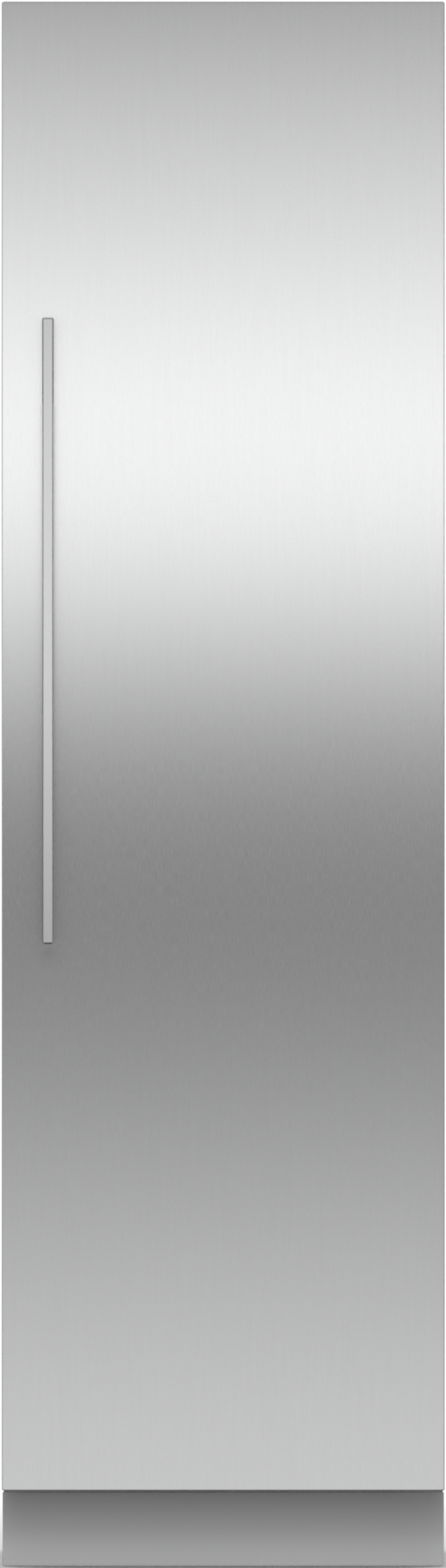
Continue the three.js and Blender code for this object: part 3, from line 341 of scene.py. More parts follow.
def effect(name, inputs, outputs):
    """An empty node group with named inputs and outputs."""
    tree = bpy.data.node_groups.new(name, "ShaderNodeTree")
    for label, value in inputs.items():
        kind = "NodeSocketVector" if isinstance(value, tuple) else "NodeSocketFloat"
        tree.interface.new_socket(label, in_out="INPUT", socket_type=kind).default_value = value
    for label in outputs:
        tree.interface.new_socket(label, in_out="OUTPUT", socket_type="NodeSocketFloat")
    return tree, tree.nodes.new("NodeGroupInput").outputs, tree.nodes.new("NodeGroupOutput").inputs


def give(tree, result, **values):
    """Joins values to a group's outputs."""
    for label, value in values.items():
        tree.links.new(value, result[label])
    return tree


def brush_lines():
    """Fine lines left by a brush: noise stretched along the grain, in a fine and a broad layer.

    Spread is the number of noise cells in a metre along each axis. Tone is 1 plus Contrast times
    the two layers' sum less its mean.
    """
    tree, given, result = effect(
        "brush lines", {"Spread": (1000, 1000, 5), "Contrast": 0.05}, ["Tone", "Height"]
    )
    place = on_object(tree)
    broad_share, broad_weight, harshness = 0.16, 0.6, 0.65
    layers = []
    for share, detail in ((1.0, 3.0), (broad_share, 2.0)):
        scaled = {0: given["Spread"], "Scale": share}
        spread = put(tree, "VectorMath", {"operation": "SCALE"}, scaled).outputs[0]
        cell = put(tree, "VectorMath", {"operation": "MULTIPLY"}, {0: place, 1: spread})
        layers.append(noise(tree, cell.outputs[0], 1.0, detail, harshness)["Fac"])
    both = maths(tree, "MULTIPLY_ADD", layers[1], broad_weight, layers[0])
    shift = maths(tree, "SUBTRACT", both, 0.5 * (1 + broad_weight))
    tone = maths(tree, "MULTIPLY_ADD", shift, given["Contrast"], 1.0)
    return give(tree, result, Tone=tone, Height=layers[0])


def moulded_skin():
    """The fine unevenness of paint and moulded plastic. Size is the number of cells in a metre."""
    tree, given, result = effect(
        "moulded skin", {"Size": 400.0, "Contrast": 0.05}, ["Tone", "Height", "Haze"]
    )
    place, broad_cells = on_object(tree), 9.0
    fine = noise(tree, place, given["Size"], 2.0)["Fac"]
    shift = maths(tree, "SUBTRACT", noise(tree, place, broad_cells, 3.0)["Fac"], 0.5)
    tone = maths(tree, "MULTIPLY_ADD", shift, given["Contrast"], 1.0)
    return give(tree, result, Tone=tone, Height=fine, Haze=shift)


def zinc_flowers():
    """The crystals of galvanised sheet: cells with bent borders, of slightly different grey."""
    tree, given, result = effect("zinc flowers", {"Contrast": 0.2}, ["Tone", "Haze"])
    crystals, bends, bend = 170.0, 160.0, 0.004
    place = on_object(tree)
    bent = {0: noise(tree, place, bends, 2.0)["Color"], 1: (bend,) * 3, 2: place}
    place = put(tree, "VectorMath", {"operation": "MULTIPLY_ADD"}, bent).outputs[0]
    cell = put(tree, "TexVoronoi", None, {"Vector": place, "Scale": crystals}).outputs["Color"]
    grey = put(tree, "SeparateColor", None, {0: cell}).outputs[0]
    shift = maths(tree, "SUBTRACT", grey, 0.5)
    tone = maths(tree, "MULTIPLY_ADD", shift, given["Contrast"], 1.0)
    return give(tree, result, Tone=tone, Haze=shift)


BRUSH_LINES = brush_lines()
MOULDED_SKIN = moulded_skin()
ZINC_FLOWERS = zinc_flowers()


# Finishes


def blank_finish(name, roughness, metallic, constants):
    """A material whose shader has the values that are the same all over it."""
    material = bpy.data.materials.new(name)
    material.use_nodes = True
    tree = material.node_tree
    shader = tree.nodes["Principled BSDF"]
    shader.inputs["Roughness"].default_value = roughness
    shader.inputs["Metallic"].default_value = metallic
    for socket, value in constants.items():
        shader.inputs[socket.replace("_", " ")].default_value = value
    return material, tree, shader


def grouped(tree, group, **inputs):
    """A shared effect placed in a material, with its own values."""
    made = tree.nodes.new("ShaderNodeGroup")
    made.node_tree = group
    for name, value in inputs.items():
        made.inputs[name].default_value = value
    return made.outputs


def shade(tree, shader, colour, tone):
    """Base colour: the plain colour times the tone."""
    shaded = put(tree, "VectorMath", {"operation": "SCALE"}, {0: colour, "Scale": tone})
    tree.links.new(shaded.outputs[0], shader.inputs["Base Color"])


def vary_roughness(tree, shader, shift, amount):
    """Roughness: the plain value plus the shift times an amount."""
    plain = shader.inputs["Roughness"].default_value
    varied = maths(tree, "MULTIPLY_ADD", shift, amount, plain)
    tree.links.new(varied, shader.inputs["Roughness"])


def relief(tree, shader, height, strength, depth, lean=0.0):
    """A bump of a given depth in metres. With a lean, the polish also faces a little upwards."""
    if lean:
        level = put(tree, "SeparateXYZ", None, {0: on_object(tree)}).outputs["Z"]
        fine = maths(tree, "MULTIPLY", height, strength * depth)
        height = maths(tree, "MULTIPLY_ADD", level, -lean, fine)
        strength, depth = 1.0, 1.0
    bump = put(
        tree, "Bump", None, {"Strength": strength, "Distance": depth, "Height": height}
    )
    tree.links.new(bump.outputs[0], shader.inputs["Normal"])


def brushed(name, colour, roughness, spread, contrast, depth=0.004 * MM, lean=0.0, **constants):
    """Brushed metal. The grain runs along the axis that has the smallest spread."""
    material, tree, shader = blank_finish(name, roughness, metallic=1.0, constants=constants)
    lines = grouped(tree, BRUSH_LINES, Spread=spread, Contrast=contrast)
    shade(tree, shader, colour, lines["Tone"])
    shift = maths(tree, "SUBTRACT", lines["Height"], 0.5)
    vary_roughness(tree, shader, shift, amount=0.12)
    relief(tree, shader, lines["Height"], strength=0.4, depth=depth, lean=lean)
    return material


def moulded(name, colour, roughness, size, contrast, depth=0.02 * MM, **constants):
    """Paint, enamel, rubber or moulded plastic."""
    material, tree, shader = blank_finish(name, roughness, metallic=0.0, constants=constants)
    skin = grouped(tree, MOULDED_SKIN, Size=size, Contrast=contrast)
    shade(tree, shader, colour, skin["Tone"])
    vary_roughness(tree, shader, skin["Haze"], amount=0.15)
    relief(tree, shader, skin["Height"], strength=0.3, depth=depth)
    return material


def see_through(name, colour, roughness, least, most, **constants):
    """Clear glass or plastic: the alpha rises from least to most towards a view edge on."""
    material, tree, shader = blank_finish(name, roughness, metallic=0.0, constants=constants)
    skin = grouped(tree, MOULDED_SKIN, Size=60.0, Contrast=0.02)
    shade(tree, shader, colour, skin["Tone"])
    vary_roughness(tree, shader, skin["Haze"], amount=0.04)
    facing = put(tree, "LayerWeight", None, {"Blend": 0.35}).outputs["Facing"]
    alpha = put(tree, "MapRange", None, {"Value": facing, "To Min": least, "To Max": most})
    tree.links.new(alpha.outputs[0], shader.inputs["Alpha"])
    return material


def zinc_coated(name, colour, roughness, contrast):
    """Galvanised sheet, or steel plated with zinc."""
    material, tree, shader = blank_finish(name, roughness, metallic=0.9, constants={})
    flowers = grouped(tree, ZINC_FLOWERS, Contrast=contrast)
    shade(tree, shader, colour, flowers["Tone"])
    vary_roughness(tree, shader, flowers["Haze"], amount=0.2)
    return material


def lit(name, colour, glow, strength):
    """A plastic lens that gives light."""
    emission = {"Emission_Color": (*glow, 1.0), "Emission_Strength": strength}
    return moulded(name, colour, 0.40, 400.0, 0.02, **emission)


DOOR_STEEL = brushed(
    "door steel, grain up and down",
    (0.585, 0.587, 0.589),
    0.26,
    (1500, 1500, 60),
    0.08,
    lean=0.046,
    Anisotropic=0.39,
    Anisotropic_Rotation=0.25,
)
# Painted shade: the plinth steel is darker than the door steel, standing in for the shade under the
# door's overhang.
SHADED_KICK_STEEL = brushed(
    "plinth steel, grain across, darkened as painted shade",
    (0.45, 0.451, 0.452),
    0.5,
    (4, 1500, 1500),
    0.08,
    Anisotropic=0.85,
    Anisotropic_Rotation=0.25,
)
HANDLE_STEEL = brushed(
    "handle steel", (0.595, 0.597, 0.599), 0.44, (1800, 1800, 40), 0.05, lean=0.135
)
DUCT_STEEL = brushed("duct steel", (0.62, 0.62, 0.62), 0.34, (1200, 1200, 5), 0.06, Anisotropic=0.6)
FRAME_STEEL = brushed("front frame steel", (0.56, 0.56, 0.56), 0.36, (900, 900, 5), 0.06)
ALUMINIUM = brushed("satin aluminium", (0.74, 0.745, 0.75), 0.34, (6, 1400, 1400), 0.05)
SIDE_PAINT = moulded("grey side paint", (0.36, 0.365, 0.37), 0.42, 700.0, 0.05, Coat_Weight=0.2)
GALVANISED = zinc_coated("galvanised sheet", (0.56, 0.575, 0.59), 0.40, 0.13)
ZINC = zinc_coated("zinc plated steel", (0.70, 0.71, 0.72), 0.30, 0.08)
LINER_WHITE = moulded("white liner plastic", (0.84, 0.85, 0.86), 0.35, 350.0, 0.02)
CLEAR_PLASTIC = see_through("clear plastic", (0.86, 0.91, 0.94), 0.08, 0.10, 0.75, IOR=1.49)
SHELF_GLASS = see_through("shelf glass", (0.50, 0.70, 0.64), 0.03, 0.07, 0.62, IOR=1.52)
SEAL = moulded("grey seal rubber", (0.50, 0.505, 0.51), 0.62, 900.0, 0.06)
FOAM = moulded("insulation foam", (0.83, 0.74, 0.48), 0.85, 250.0, 0.14, 0.4 * MM)
BLACK_PLASTIC = moulded("black plastic", (0.022, 0.022, 0.024), 0.45, 900.0, 0.1)
BLACK_ENAMEL = moulded("black enamel", (0.016, 0.016, 0.018), 0.30, 300.0, 0.1, 0.05 * MM)
BLACK_GLASS = moulded("black control glass", (0.012, 0.012, 0.014), 0.08, 60.0, 0.02, 0.0)
COPPER = moulded("copper pipe", (0.80, 0.42, 0.27), 0.32, 300.0, 0.12, 0.01 * MM, Metallic=1.0)
RUBBER = moulded("black rubber", (0.025, 0.025, 0.026), 0.75, 1100.0, 0.15)
FIN_ALUMINIUM = brushed("fin aluminium", (0.70, 0.70, 0.71), 0.38, (900, 900, 8), 0.10)
CORE_BOARD = brushed(
    "core board", (0.42, 0.28, 0.15), 0.75, (500, 500, 30), 0.3, 0.1 * MM, Metallic=0.0
)
DIFFUSER = lit("light diffuser", (0.95, 0.95, 0.92), (1.0, 0.96, 0.88), 15.0)
INDICATOR = lit("lit indicator", (0.9, 0.95, 1.0), (0.75, 0.9, 1.0), 3.0)


# Door front and handle


def door_skin():
    """The folded panel of the door.

    A profile runs from its face, round the edge and the lip behind, to its inner side, and is
    carried round the door's outline. The flat middles close it.
    """
    low, high = corners_of("door_panel")
    front, back = low[1], high[1]
    sheet, lip, edge, middle = 1.2, 18, 1.5, 8
    chain = rounded_chain(
        [
            (middle, front, 0),
            (0, front, edge),
            (0, back, edge),
            (lip, back, 0.5),
            (lip, back - sheet, 0.5),
            (sheet, back - sheet, 0.4),
            (sheet, front + sheet, 0.4),
            (middle, front + sheet, 0),
        ],
        6,
    )
    make_piece("door_skin", [carried_round(low, high, 3, chain)], DOOR_STEEL, "door_panel")


def handle_bar():
    """The bar: a square with chamfered corners carried upwards, drawn in a little at both ends."""
    low, high = corners_of("handle_bar")
    (left, front, bottom), (right, back, top) = low, high
    cut, soft, drawn_in = 1.1, 1.3, 0.9
    outline = rounded_chain(
        [
            (left + cut, front, soft),
            (right - cut, front, soft),
            (right, front + cut, soft),
            (right, back - cut, soft),
            (right - cut, back, soft),
            (left + cut, back, soft),
            (left, back - cut, soft),
            (left, front + cut, soft),
        ],
        5,
    )
    middle, half = (low + high)[:2] / 2, (high - low)[0] / 2
    end = [(3, bottom, 0), (drawn_in, bottom, 0.3), (0, bottom + drawn_in, 0.3)]
    inset, level = rounded_chain(mirrored(end, 1, (bottom + top) / 2), 3).T[:, :, None]
    u, v = (middle + (outline - middle) * (1 - inset[:, :, None] / half)).transpose(2, 0, 1)
    make_piece("handle_grip", [closed_shell(placed(u, v, level, "xy"))], HANDLE_STEEL, "handle_bar")


def handle_leg(node):
    """A leg of the handle: a chamfered rectangle carried backwards from the bar.

    The lower leg ends a little below the bar, as the upper one ends above it.
    """
    low, high = corners_of(node)
    front, back, cut, drop = low[1], high[1], 1.7, 1.5
    if node == "handle_bottom_mount":
        low[2] = min(low[2], corners_of("handle_bar")[0][2] - drop)
    chain = rounded_chain(
        [(4, front, 0), (cut, front, 0.4), (0, front + cut, 0.4), (0, back, 0.2), (4, back, 0)]
    )
    make_piece(node + "_leg", [carried_round(low, high, 1.8, chain)], HANDLE_STEEL, node)


def plinth_seal():
    """The thin strip in the joint between the plinth and the frame above it."""
    low, high = corners_of("toe_kick")
    top = high[2]
    strip = eased_block(
        (low[0] + 3, low[1] + 1.5, top + 0.1), (high[0] - 3, low[1] + 6, top + 1.9), 0.5
    )
    add_detail("plinth_seal", [strip], SEAL, "toe_kick")


door_skin()
handle_bar()
handle_leg("handle_top_mount")
handle_leg("handle_bottom_mount")
# The plinth gets the steel that is darkened as painted shade of the recess under the door.
eased_solid("toe_kick", 0.35, SHADED_KICK_STEEL)
plinth_seal()


# Cold compartment


def liner_shell():
    """The formed liner with round corners, and the ribs that carry the shelves."""
    low, high = corners_of("inner_liner")
    skin, middle = 2, 30
    front, back = low[1], high[1] - skin
    chain = rounded_chain(
        [
            (middle, back, 0),
            (0, back, 14),
            (0, front, 0.8),
            (-skin, front, 0.4),
            (-skin, back + skin, 16),
            (middle, back + skin, 0),
        ],
        6,
    )
    low, high = low + skin, high - skin
    shells = [carried_round(low, high, 12, chain, "xz", 6)]
    ribs, thick, reach, rib_front, rib_back, play = 15, 8, 8, -80, 244, 0.3
    first = corners_of("drawer_cover_glass")[0][2] - play
    pitch = (corners_of("shelf_trim_2")[0][2] - corners_of("shelf_trim_1")[0][2]) / 4
    root, tip = high[0] + 1, high[0] - reach
    for i in range(ribs):
        top = first + i * pitch
        for side in (-1, 1):
            start, end = (side * root, rib_front, top - thick), (side * tip, rib_back, top)
            shells.append(eased_block(start, end, 2.4, "xz", 3))
    make_piece("liner_shell", shells, LINER_WHITE, "inner_liner")


def glass_plate(node, corner):
    """A pane with polished round edges."""
    shell = eased_block(*corners_of(node), 1.2, "xy", 3, corner)
    make_piece(node + "_pane", [shell], SHELF_GLASS, node)


def drawer_tub(node):
    """A clear drawer: a tub with a flanged rim, and a front plate with a metal rail on its top."""
    low, high = corners_of(node)
    front, bottom, top = low[1], low[2] + 4, high[2]
    rim, flange, wall, draft, depth, rail_height = 12, 4, 2.6, 1.5, 14, 24
    profile = [
        (draft, bottom, 7),
        (0, top - flange, 1.2),
        (-rim, top - flange, 0.9),
        (-rim, top, 1.2),
        (wall, top, 0.9),
        (wall + draft, bottom + wall, 6),
    ]
    body = tub(low + (rim, depth + rim, 0), high - (rim, rim, 0), 16, wall, profile, 5)
    seam = top - rail_height
    plate = eased_block(
        (low[0], front + 1.5, low[2]), (high[0], front + 5, seam), 1.2, "xz", 3, 5
    )
    make_piece(node + "_tub", [body, plate], CLEAR_PLASTIC, node)
    outline = rounded_chain(
        [
            (front, seam, 0.8),
            (front + 6, seam, 0.8),
            (front + 6, top - 13, 1.5),
            (front + 8, top - 13, 1.0),
            (front + 8, top - 3, 2.0),
            (front + depth, top - 3, 1.0),
            (front + depth, top, 1.0),
            (front, top, 3.0),
        ]
    )
    add_detail(node + "_rail", [extruded(outline, low[0], high[0])], ALUMINIUM, node)


def slide_knob():
    """The slider in the upper drawer's front, with five ribs for the finger."""
    low, high = corners_of("humidity_slider")
    ribs, half = 5, 0.6
    shells = [eased_block(low + (0, 1, 0), high, 0.8, "xz", 3)]
    for x in np.linspace(low[0], high[0], ribs + 2)[1:-1]:
        start, end = (x - half, low[1], low[2] + 1), (x + half, low[1] + 2, high[2] - 1)
        shells.append(eased_block(start, end, 0.4))
    make_piece("slide_knob", shells, LINER_WHITE, "humidity_slider")


def wall_and_tip(node, side):
    """The x of a piece's side on the cabinet wall, and of the other one."""
    low, high = corners_of(node)
    return (low[0], high[0]) if side < 0 else (high[0], low[0])


def runner_carrier(side, node):
    """The wall plate that carries the drawers, with a ledge for each."""
    low, high = corners_of(node)
    wall, tip = wall_and_tip(node, side)
    plate, ledge, under_flange = 4, 10, 4.3
    face = wall - side * plate
    shells = [
        eased_block((wall, low[1], low[2] + 13), (face, high[1], high[2]), 1.2, "yz", 3, 6)
    ]
    for drawer in ("lower_drawer", "upper_drawer"):
        top = corners_of(drawer)[1][2] - under_flange
        start, end = (face, low[1], top - ledge), (tip, high[1], top)
        shells.append(eased_block(start, end, 1.8, "xz", 3))
    make_piece(node + "_carrier", shells, LINER_WHITE, node)


def light_strip(side, node):
    """A narrow lit lens on a metal base."""
    low, high = corners_of(node)
    wall, face = wall_and_tip(node, side)
    base_thick = 1
    seam = wall - side * base_thick
    base = eased_block((wall, low[1], low[2]), (seam, high[1], high[2]), 0.4, "yz", 2, 3)
    make_piece(node + "_base", [base], ALUMINIUM, node)
    lens = eased_block(
        (seam, low[1] + 2, low[2] + 6), (face, high[1] - 2, high[2] - 6), 0.9, "yz", 3, 4
    )
    add_detail(node + "_lens", [lens], DIFFUSER, node)


def control_housing():
    """The control panel under the ceiling: a housing, a glossy face with lit marks, a lamp lens.

    The face and marks lie on the slope between its upper and lower edge. A plate covers shares of
    the slope from start to end, and its face stands out by the lift.
    """
    low, high = corners_of("control_panel")
    near, far, bottom, top = low[1], high[1], low[2], high[2]
    upper, lower = np.array([near + 1, top - 6]), np.array([near + 8, bottom])
    outline = rounded_chain(
        [
            (*lower, 4),
            (far, bottom + 4, 6),
            (far, top, 0.5),
            (near, top, 0.5),
            (*upper, 1.5),
        ]
    )
    housing = extruded(outline, low[0], high[0])
    make_piece("control_housing", [housing], LINER_WHITE, "control_panel")
    along = (lower - upper) / np.linalg.norm(lower - upper)
    out = np.array([along[1], -along[0]])

    def plate(start, end, lift, thick, left, right):
        a, b = (upper + (lower - upper) * share for share in (start, end))
        outer, inner = out * lift, out * (lift - thick)
        return extruded([a + outer, b + outer, b + inner, a + inner], left, right)

    glass = plate(0.12, 0.85, 0.35, 1.2, -150, 150)
    add_detail("control_glass", [glass], BLACK_GLASS, "control_panel")
    marks = [
        plate(start, end, 0.45, 0.2, x - half, x + half)
        for places, start, end, half in (
            ((-120, -96, -72, 0, 72, 96, 120), 0.44, 0.54, 0.9),
            ((-14, -9, 9, 14), 0.45, 0.53, 1.6),
        )
        for x in places
    ]
    add_detail("control_marks", marks, INDICATOR, "control_panel")
    lens = eased_block((-110, near + 30, bottom), (110, near + 62, bottom + 6), 1, "xy", 3, 5)
    add_detail("ceiling_lens", [lens], DIFFUSER, "control_panel")


liner_shell()
for pane, corner in (
    ("glass_shelf_1", 3),
    ("glass_shelf_2", 3),
    ("glass_shelf_3", 3),
    ("drawer_cover_glass", 15),
):
    glass_plate(pane, corner)
for trim in ("shelf_trim_1", "shelf_trim_2", "shelf_trim_3"):
    eased_solid(trim, 0.9, ALUMINIUM)
drawer_tub("lower_drawer")
drawer_tub("upper_drawer")
slide_knob()
runner_carrier(-1, "drawer_runner_left")
runner_carrier(1, "drawer_runner_right")
light_strip(-1, "light_strip_left")
light_strip(1, "light_strip_right")
control_housing()
eased_solid("duct_cover", 0.5, DUCT_STEEL)
eased_solid("front_frame", 0.3, FRAME_STEEL)


# Inner side of the door

BINS = ("door_bin_1", "door_bin_2", "door_bin_3", "door_bin_4")


def door_lining():
    """The formed inner skin: a flange, the hollow ridge round the bins, and the lugs for these.

    Its profile goes over the ridge and out to the flange, round the flange's rim, and back under
    the ridge.
    """
    low, high = corners_of("door_liner")
    front, back = low[1], high[1]
    sheet, width, mid, far, out = 2.5, 22, 11, 60, -20
    face, under, inner = front + sheet, back - sheet, width - sheet
    edge = (low, high)
    ridge = (np.array([-245.0, 0, 360]), np.array([245.0, 0, 2034]))
    tight, wide = 7, 32
    parts = [
        (ridge, wide, 5, [(far, face, 0), (width, face, 5), (width, back, 6), (mid, back, 0)]),
        (ridge, tight, 5, [(mid, back, 0), (0, back, 6), (0, face, 5), (out, face, 0)]),
        (edge, 4, 3, [(4, face, 0), (0, face, 0.8), (0, front, 0.8), (4, front, 0)]),
        (ridge, tight, 4, [(out, front, 0), (sheet, front, 3), (sheet, under, 3), (mid, under, 0)]),
        (ridge, wide, 4, [(mid, under, 0), (inner, under, 3), (inner, front, 3), (far, front, 0)]),
    ]
    rings = [
        rectangle_rings(*rectangle, radius, rounded_chain(corners, steps), "xz", 6)
        for rectangle, radius, steps, corners in parts
    ]
    shells = [closed_shell(np.concatenate(rings))]
    inside = ridge[1][0] - width
    reach, thick, length, play = 7, 9, 19, 0.3
    root, tip = inside + 1, inside - reach
    for bin_name in BINS:
        top = corners_of(bin_name)[0][2] - play
        for side in (-1, 1):
            start, end = (side * root, face - 1, top - thick), (side * tip, face + length, top)
            shells.append(eased_block(start, end, 1.8, "xz", 3))
    make_piece("door_lining", shells, LINER_WHITE, "door_liner")


def bellows_seal():
    """The magnetic seal: a foot on the door, two folds, and the soft bulb that meets the frame."""
    low, high = corners_of("door_gasket")
    near, far, width = low[1], high[1], 20
    half = [
        (0, near, 0.6),
        (0, near + 2.6, 0.8),
        (3.4, near + 3.4, 0.5),
        (2.2, near + 5.2, 0.8),
        (3.6, near + 6.8, 0.5),
        (3.0, far, 1.6),
    ]
    chain = rounded_chain(mirrored(half, 0, width / 2), 3)
    shell = carried_round(low, high, 6, chain, "xz", 4, loop=True)
    make_piece("bellows_seal", [shell], SEAL, "door_gasket")


def bin_tub(node):
    """A clear door bin with round corners and a metal band along its front."""
    low, high = corners_of(node)
    bottom, top, wall, draft, heel = low[2], high[2], 3, 1.2, 12
    profile = [
        (draft, bottom, 5),
        (0, bottom + heel, 8),
        (0, top, 1.2),
        (wall, top, 1.2),
        (wall, bottom + heel, 8),
        (wall + draft, bottom + wall, 5),
    ]
    shell = tub(low, high - (0, 1, 0), 12, wall, profile)
    make_piece(node + "_tub", [shell], CLEAR_PLASTIC, node)
    start, end = (low[0] + 8, high[1] - 1.6, top - 22), (high[0] - 8, high[1], top - 4)
    add_detail(node + "_band", [eased_block(start, end, 0.7, "xz", 3, 2)], ALUMINIUM, node)


door_lining()
bellows_seal()
for bin_name in BINS:
    bin_tub(bin_name)


# Shell, base and hinges


def screws(name, places, plane, radius, rise, node):
    """Low round screw heads with a sunk middle: a profile turned at each place.

    It is given in shares of the radius and the rise. A negative rise points the other way.
    """
    profile = [(1.0, 0), (1.0, 0.35), (0.86, 0.8), (0.6, 1.0), (0.36, 1.0), (0.32, 0.45)]
    points, blocks = turned(np.array(profile) * (radius, rise), (0, 0), 20, plane)
    add_detail(name, [(points + place, blocks) for place in places], ZINC, node, 40)


def rear_sheet():
    """The back sheet, stiffened by four upright beads.

    The rise of a bead is its full rise times 1 - s² (3 - 2 s), where s goes from 0 to 1 across its
    slope, and the same towards the beads' ends.
    """
    low, high = corners_of("rear_panel")
    rows, columns = 220, 150
    z, x = np.meshgrid(
        np.linspace(low[2], high[2], rows), np.linspace(low[0], high[0], columns), indexing="ij"
    )
    rise, half_height, end_start, end_length = 0.9, (high[2] - low[2]) / 2, 120, 20
    flat, wide, outer_bead, inner_bead = 4, 11, 150, 50

    def slope(away, flat, wide):
        s = np.clip((away - flat) / (wide - flat), 0, 1)
        return 1 - s * s * (3 - 2 * s)

    straight = half_height - end_start
    upright = slope(np.abs(z - (low[2] + high[2]) / 2), straight, straight + end_length)
    from_bead = np.minimum(np.abs(np.abs(x) - outer_bead), np.abs(np.abs(x) - inner_bead))
    seat = high[1] - rise
    outer = seat + rise * slope(from_bead, flat, wide) * upright
    outside, inside = (
        np.stack([x, y, z], -1) for y in (outer, np.full_like(outer, low[1] - 0.1))
    )
    shell = closed_shell(np.concatenate([outside, inside[:, ::-1]], 1))
    make_piece("rear_sheet", [shell], GALVANISED, "rear_panel", 45)
    edge, bottom, top = high[0] - 12, low[2] + 10, high[2] - 12
    places = [(x, seat, z) for x in (-edge, edge) for z in np.linspace(bottom, top, 9)]
    places += [(x, seat, z) for z in (bottom, top) for x in (-150, 0, 150)]
    screws("rear_screws", places, "xz", 4.5, 0.8, "rear_panel")


def machine_cover():
    """The slotted cover of the machine compartment, as sunk thin sheet with its screws."""
    node = "machine_room_cover"
    low, high = corners_of(node)
    ease, sunk, sheet = 0.2, 0.8, 0.7
    mesh = eased_solid(node, ease, GALVANISED).data
    seat, inner = high[1] - sunk, high[1] - sunk - sheet
    points = np.empty(len(mesh.vertices) * 3)
    mesh.vertices.foreach_get("co", points)
    points = points.reshape(-1, 3) / MM
    points[points[:, 1] > high[1] - ease, 1] = seat
    points[:, 1] = np.maximum(points[:, 1], inner)
    mesh.vertices.foreach_set("co", (points * MM).ravel())
    mesh.update()
    edge = high[0] - 12
    places = [
        (x, seat, z) for z in (low[2] + 10, high[2] - 10) for x in (-edge, -100, 100, edge)
    ]
    screws("cover_screws", places, "xz", 4.5, 0.8, node)


def inlet_pins():
    """Three flat pins in the power inlet's socket."""
    low, high = corners_of("power_inlet")
    middle = (low + high) / 2
    pins = []
    for x, z in ((-7, -2), (7, -2), (0, 4)):
        place = np.array([middle[0] + x, high[1] - 14, middle[2] + z])
        pins.append(eased_block(place - (1, 6, 2), place + (1, 11, 2), 0.4))
    add_detail("inlet_pins", pins, ZINC, "power_inlet")


def threaded_foot(node):
    """A levelling foot: a rubber-soled pad, a nut, and a stem with a thread.

    The thread's radius is the mean radius plus its depth times the cosine of the angle less a full
    turn for each pitch of height.
    """
    low, high = corners_of(node)
    centre, top = ((low + high) / 2)[:2], high[2]
    sole = rounded_chain([(10, 0, 0), (20, 0, 1.5), (20, 3, 0.5), (14, 3, 0)])
    pad = rounded_chain([(10, 3, 0), (19, 3, 0.4), (19, 4.5, 1.0), (9.6, 8, 1.5), (8, 8, 0)])
    nut = rounded_chain([(6, 8, 0), (9.4, 8, 0.8), (9.4, 13.5, 0.8), (6, 13.5, 0)], 3)
    tip = [(5, top - 1.6), (5, top - 1), (4, top)]
    mean, depth, pitch, sides = 5.5, 0.4, 1.75, 28
    level = np.arange(13, top - 1.2, pitch / 8)[:, None]
    angle = full_circle(sides)
    radius = mean + depth * np.cos(angle - 2 * math.pi * level / pitch)
    shells = [
        turned(pad, centre, 40),
        turned(nut, centre, 6),
        closed_shell(polar(centre, radius, angle, level)),
        turned(tip, centre, sides),
    ]
    make_piece(node + "_stem", shells, ZINC, node, 50)
    add_detail(node + "_sole", [turned(sole, centre, 40)], RUBBER, node)


def base_roller(node):
    """A roller: a grooved tyre on a hub with a bore and five bosses, turned about the axle."""
    low, high = corners_of(node)
    across, centre = ((low + high) / 2)[0], ((low + high) / 2)[1:]
    near = low[0]

    def wheel_part(half, middle, sides, loop=True):
        chain = rounded_chain(mirrored(half, 1, across), 3)
        return turned(chain, middle, sides, "yz", loop)

    tyre = [(12.5, near, 0.5), (18, near, 2.5), (18, across - 2, 0.4), (17, across - 1, 0.6)]
    make_piece(node + "_tyre", [wheel_part(tyre, centre, 48)], RUBBER, node)
    hub = [(3.6, near, 0.3), (6.5, near, 0.6), (6.5, near + 4, 1), (12.7, near + 4, 0.2)]
    boss = [(0.6, near + 2.5, 0), (1.7, near + 2.5, 0.5)]
    shells = [wheel_part(hub, centre, 40)]
    bosses, boss_circle = 5, 9.4
    for angle in full_circle(bosses):
        spot = centre + boss_circle * np.array([math.cos(angle), math.sin(angle)])
        shells.append(wheel_part(boss, spot, 12, loop=False))
    add_detail(node + "_hub", shells, LINER_WHITE, node)


def hinge_pin(node, upward):
    """A headed pin with a rounded head and a chamfered tip: (radius, distance from the head)."""
    low, high = corners_of(node)
    way, head = (1, low[2]) if upward else (-1, high[2])
    length = high[2] - low[2]
    rounded_head = [(3, 0), (7.6, 0), (8.7, 0.5), (9, 1.4), (9, 2.8), (8.8, 3)]
    shank = [(5.3, 3), (5, 3.4), (5, length - 1.2), (4, length)]
    chain = np.array(rounded_head + shank) * (1, way) + (0, head)
    make_piece(node + "_turned", [turned(chain, ((low + high) / 2)[:2], 40)], ZINC, node)


def outer_sheet(node):
    """A painted sheet of the cabinet with folded round edges."""
    low, high = corners_of(node)
    plane = ("yz", "xz", "xy")[np.argmin(high - low)]
    shell = eased_block(low, high, 0.55, plane, 3, 0.9)
    make_piece(node + "_sheet", [shell], SIDE_PAINT, node)


def hinge_screws():
    """Four screws in each hinge plate, on top of the upper one and in front of the lower one."""
    top = corners_of("top_hinge_plate")[1][2]
    places = [(x, y, top) for x in (247, 272) for y in (-182, -148)]
    screws("top_hinge_screws", places, "xy", 5, 2.4, "top_hinge_plate")
    face = corners_of("bottom_hinge_plate")[1][1] - 4
    places = [(x, face, z) for x in (246, 272) for z in (131, 158)]
    screws("bottom_hinge_screws", places, "xz", 4.5, -2.2, "bottom_hinge_plate")


